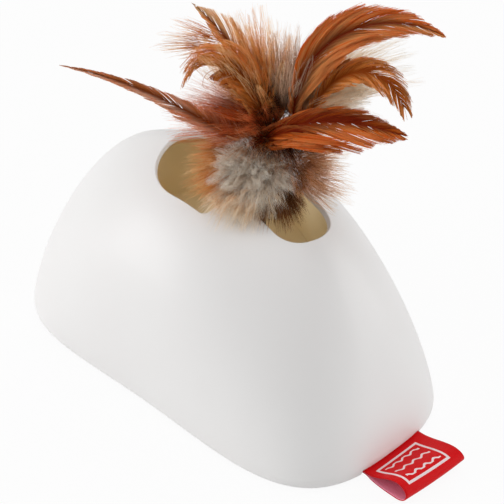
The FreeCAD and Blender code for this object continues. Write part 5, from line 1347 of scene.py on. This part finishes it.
@dataclass
class FeatherTuft:
    """Everything soft on the wand: hackle feathers, marabou plumes and down."""

    picture: Picture
    shell: MoundShell
    seed: int = 11
    seed_step: int = 100
    first_down: int = 20

    def random(self, number: int) -> np.random.Generator:
        """A source of small differences that is the same each run."""
        return np.random.default_rng(self.seed * self.seed_step + number)

    def build_hackles(self) -> None:
        """Builds the seven hackle feathers."""
        rust = Keratin("rust_hackle", "#9A2A02", ("#A22E02", "#F88420", "#FFC47C"), "#F8AA62",
                       foot="#943E0E")
        golden = Keratin("golden_hackle", "#B85410", ("#C26012", "#FFAE50", "#FFDCA6"), "#FFCE88",
                         foot="#C88C54")
        smoky = Keratin("smoky_hackle", "#A84A14", ("#BC5A18", "#F6A05A", "#FFD6B8"), "#F8C8A2",
                        foot="#F2CDB6", foot_reach=0.42)
        # Each blade: root, heading, rise, curl and yaw in degrees, length, the curl's power, and width
        feathers = (
            ("left_long_feather", "long_left_hackle", smoky,
             Blade((25, -2, 112), 223, 36, -26, -2, 87, 1.62, 8.0, barbs=520, lean=(22, 8), down=0.3,
                   sides=(0.9, 0.8), outline=(1.8, 1.7, 1.3, 0.85, 0.6, 0.35, 0.02), tones=(0.85, 0.45))),
            ("left_upper_feather", "upper_left_hackle", golden,
             Blade((24, 1, 116), 200, 85, -53, 1, 65, 1.11, 12.0, barbs=520, lean=(28, 14), sides=(0.7, 1.2),
                   ragged=0.16, cling=0.6, outline=(0.6, 0.9, 1.0, 1.0, 0.7, 0.05), tones=(0.7, 0.9))),
            ("left_curled_feather", "curled_left_hackle", golden,
             Blade((24, -1, 115), 237, 87, -196, -22, 55, 2.96, 12.0, barbs=800, lean=(30, 22), ragged=0.2,
                   cling=0.65, outline=(0.4, 0.7, 0.8, 1.1, 1.2, 0.9), tones=(0.3, 0.5))),
            ("right_upper_feather", "upper_right_hackle", rust,
             Blade((36, 5, 121), 35, 102, -123, -11, 93, 1.11, 15.0, barbs=900, lean=(18, 9),
                   tones=(0.7, 0.95), sides=(0.85, 1.15), ragged=0.1, radius=0.15,
                   outline=(0.18, 0.26, 0.45, 0.85, 1.05, 0.95, 0.55, 0.03))),
            ("right_curled_feather", "curled_right_hackle", golden,
             Blade((34, 5, 118), 36, 75, -144, -49, 83, 1.96, 10.0, barbs=700, lean=(24, 14), ragged=0.12,
                   shift=0.2, outline=(0.2, 0.3, 0.45, 0.8, 1.0, 0.9, 0.3), tones=(0.25, 0.4))),
            ("right_level_feather", "level_right_hackle", rust,
             Blade((24, -6, 117), 8, 60, -66, 10, 73, 0.7, 15.0, barbs=860, lean=(18, 12),
                   tones=(0.25, 0.6), sides=(0.55, 1.2), ragged=0.09, radius=0.15,
                   outline=(0.3, 0.5, 0.75, 0.95, 1.15, 1.2, 0.8, 0.1))),
            ("short_spike_feather", "short_spike_hackle", rust,
             Blade((24, -7, 116), 8, 60, -80, 3, 46, 1.0, 7.0, barbs=340, lean=(16, 8), tones=(0.15, 0.3),
                   outline=(0.5, 0.9, 1.0, 0.7, 0.35, 0.02))),
        )
        for number, (node, name, finish, blade) in enumerate(feathers):
            strands = Strands(name)
            blade.grow(strands, self.picture, self.random(number))
            strands.build(finish, node, "hackle_rust")

    def build_down(self) -> None:
        """Builds the marabou and the down, from the wand outwards."""
        dark = Keratin("dark_brown_down", "#200802", ("#280C02", "#481A06", "#763A14"), "#6A3616",
                       through=0.2)
        brown = Keratin("brown_down_barbs", "#A05C2C", ("#B06E36", "#EAB078", "#FFDCB4"), "#FFE4C4")
        smoky = Keratin("smoky_down", "#B87450", ("#D8946C", "#FFCCAE", "#FFE8DA"), "#FFE6D8")
        tan = Keratin("tan_marabou", "#D88030", ("#E69238", "#FFCA7C", "#FFE8BE"), "#FFECCA")
        taupe = Keratin("taupe_marabou", "#A87C58", ("#B89070", "#EACCAE", "#FFECD8"), "#FAE4D0")
        cream = Keratin("cream_marabou", "#FACE98", ("#FFDCB0", "#FFF0D8", "#FFFAF0"), "#FFFBF4",
                        through=0.55, sheen=0.3)
        white = Keratin("white_down_fluff", "#FCEBDA", ("#FCEFE0", "#FFF8EC", "#FFFEFA"), "#FFFDF8",
                        sheen=0.5)
        rust = Keratin("rust_barbs", "#963006", ("#B04408", "#EC7C30", "#FFBE84"), "#F8B07C")
        umber = Keratin("umber_down", "#4A200A", ("#5C2C10", "#90582E", "#C48E62"), "#B48458", through=0.4)
        fawn = Keratin("fawn_down", "#D8A26A", ("#ECB67E", "#FFDCB4", "#FFF4E4"), "#FFF6EA", through=0.55,
                       sheen=0.3)
        # Each spray: its clump's centre and size, its way, the hairs' least and greatest length, their
        # number, and how far they fan out
        sprays = (
            ("core_down", dark, "brown_down", "down_brown", (
                Spray((-1, 28, 15), (6, 6, 4), (0, 0.7, 0.5), (5, 11), 1800, 1.0),
                Spray((5, 12, 17), (8, 4, 3), (0.3, -0.1, 1.0), (4, 8), 1800, 1.3),
            )),
            ("brown_barbs", brown, "brown_down", "down_brown", (
                Spray((11, 2, 8), (7, 9, 4), (0.3, -0.3, 0.8), (4, 11), 2200, 1.0, locks=240, clump=0.6),
                Spray((-3, 9, 13), (12, 3, 3), (-0.2, -0.5, 0.6), (5, 11), 500, 1.2, locks=120, clump=0.5),
                Spray((10, 25, 9), (7, 5, 5), (0.1, 0.7, 0.5), (4, 11), 2200, 1.1, locks=260, clump=0.4),
            )),
            ("under_down", umber, "brown_down", "down_brown", (
                Spray((4, -10, 7), (7, 5, 4), (0.1, -1.0, 0.2), (5, 11), 1500, 0.8, clump=0.4),
                Spray((2, 4, 4), (7, 9, 4), (0, -0.2, 0.6), (5, 9), 1200, 1.2),
            )),
            ("smoky_down_left", smoky, "brown_down", "down_brown", (
                Spray((-12, 23, 5), (7, 5, 3), (-1.0, 0.25, -0.05), (8, 24), 700, 0.4, clump=0.5),
                Spray((-8, 28, 6), (6, 5, 4), (-0.8, 0.7, 0.1), (10, 22), 320, 0.5, clump=0.5),
            )),
            ("rust_barbs_left", rust, "brown_down", "down_brown", (
                Spray((-6, 17, 9), (7, 4, 4), (-1.0, 0.12, -0.1), (10, 32), 800, 0.35, locks=90, clump=0.7,
                      radius=0.09),
                Spray((-4, 18, 12), (9, 4, 3), (-0.6, 0.2, 0.5), (6, 14), 1200, 0.7, locks=140, clump=0.6),
            )),
            ("tan_down_right", fawn, "brown_down", "down_cream", (
                Spray((17, 2, 5), (6, 12, 5), (1.0, -0.1, 0.25), (4, 15), 1100, 0.7, clump=0.7),
            )),
            ("golden_fringe_left", tan, "brown_down", "down_cream", (
                Spray((-15, 2, 6), (6, 10, 4), (-1.0, -0.25, 0.1), (5, 15), 2000, 0.6, locks=300, clump=0.6),
            )),
            ("cream_fringe", cream, "white_down", "down_cream", (
                Spray((-9, -9, 9), (10, 5, 4), (-0.5, -0.9, 0.1), (4, 14), 1500, 0.7, locks=260, clump=0.6),
                Spray((-7, -9, 12), (10, 4, 3), (-0.4, -0.6, 0.6), (4, 11), 900, 0.9, locks=200, clump=0.5),
            )),
            ("white_fluff", white, "white_down", "down_white", (
                Spray((-7, 0, 13), (12, 8, 3), (-0.3, -0.3, 0.8), (4, 9), 3600, 1.6, locks=150, clump=0.6,
                      wave=0.12, radius=0.055),
                Spray((-1, -4, 14), (9, 7, 3), (-0.2, -0.8, 0.5), (4, 9), 1400, 1.2, locks=80, clump=0.6,
                      wave=0.12, radius=0.055),
            )),
            ("tan_marabou_top", tan, "cream_plume", "down_cream", (
                Spray((-1, 28, 13), (7, 7, 5), (-0.35, 1.0, 0.55), (12, 36), 2000, 0.65, locks=130,
                      clump=0.85),
                Spray((-22, 50, 8), (10, 5, 3), (-1.0, 0.15, 0.0), (6, 17), 260, 0.5, locks=50, clump=0.6),
            )),
            ("taupe_marabou_top", taupe, "cream_plume", "down_brown", (
                Spray((8, 28, 16), (7, 6, 4), (0.1, 1.0, 0.6), (14, 34), 1000, 0.5, locks=90, clump=0.85),
            )),
            ("cream_marabou_right", cream, "cream_plume", "down_cream", (
                Spray((20, 27, 18), (8, 8, 4), (0.8, 0.6, 0.35), (9, 24), 2400, 0.7, clump=0.75,
                      bend=(0.1, -0.25, 0)),
                Spray((20, 30, 16), (5, 5, 4), (0.75, 0.8, 0.3), (20, 38), 600, 0.45, locks=60, clump=0.75,
                      bend=(0.25, -0.4, 0)),
            )),
        )
        for number, (name, finish, node, slot, clumps) in enumerate(sprays, start=self.first_down):
            strands = Strands(name)
            random = self.random(number)
            for clump in clumps:
                clump.grow(strands, self.picture, random, self.shell)
            strands.build(finish, node, slot)


class Slot(Enum):
    """The record's slots whose solids keep their own shape, each with its finish."""

    # The tub's tan is written far paler than it is: painted light that makes up for the shade the tuft casts
    # into the tray, so under open light it reads cream
    TUB_TAN = MouldedPlastic("pale_tan_abs_painted_light", "#FFEEC6", "#FDE8BA", 0.42, grain_mm=0.8, flow_mm=18.0)
    BASE_WHITE = MouldedPlastic("satin_white_abs", "#E9E8E6", "#EDECEA", 0.45, grain_mm=0.9)
    FRAME_GREY = MouldedPlastic("grey_abs", "#8C9094", "#94989C", 0.5, grain_mm=0.8)
    NYLON = MouldedPlastic("natural_nylon", "#E8E4D6", "#E0DBC9", 0.38, flow_mm=6.0)
    WAND_BLACK = MouldedPlastic("black_nylon", "#17181A", "#1E1F22", 0.35, grain_mm=0.4, flow_mm=9.0)
    COMPONENT_BLACK = MouldedPlastic("moulded_epoxy", "#1B1C1E", "#232427", 0.5, grain_mm=0.25, flow_mm=3.0)
    LEAD_RED = MouldedPlastic("red_lead_jacket", "#B01E1A", "#A81B18", 0.4, grain_mm=0.3, flow_mm=5.0)
    LEAD_BLACK = MouldedPlastic("black_lead_jacket", "#1A1A1B", "#202022", 0.4, grain_mm=0.3, flow_mm=5.0)
    RUBBER_GREY = MouldedRubber("grey_rubber", "#5A5C5E", "#6B6D6F")
    STEEL = TurnedMetal("drawn_steel", "#C4C6C8", "#A5A8AB", 0.28)
    NICKEL = TurnedMetal("nickel_plate", "#CBC6BC", "#B0AAA0", 0.22)
    BRASS = TurnedMetal("turned_brass", "#D9B25A", "#B98F42", 0.24, along=(1.0, 1.0, 0.05))
    BOARD_GREEN = SolderMask()
    CELL_WRAP = CellWrap()


def dress_frame() -> None:
    """Gives every solid of the frame that stays in view the finish of its slot."""
    finishes = {slot.name.lower(): slot.value.build() for slot in Slot}
    for part in frame["record"]["subparts"]:
        finish = finishes.get(part["material_slot"])
        if finish is None:
            continue
        for place in frame["nodes"][part["node"]].material_slots:
            place.material = finish
        LOG.info("%s: %s", part["node"], finish.name)


def main() -> None:
    """Builds the studio and the toy, piece by piece."""
    logging.basicConfig(level=logging.INFO)
    studio = Studio()
    studio.build()
    dress_frame()
    shell = MoundShell()
    for piece in (shell.build(), RibbonTag().build()):
        LOG.info("%s: %d faces", piece.name, len(piece.data.polygons))
    low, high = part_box("feather_ferrule")
    foot = np.array((low + high) / 2 / MM) + TUFT_OFFSET
    ways = [np.array(way) for way in (studio.right(), studio.up(), studio.back())]
    tuft = FeatherTuft(Picture(foot, *ways), shell)
    tuft.build_hackles()
    tuft.build_down()


if __name__ == "__main__":
    main()
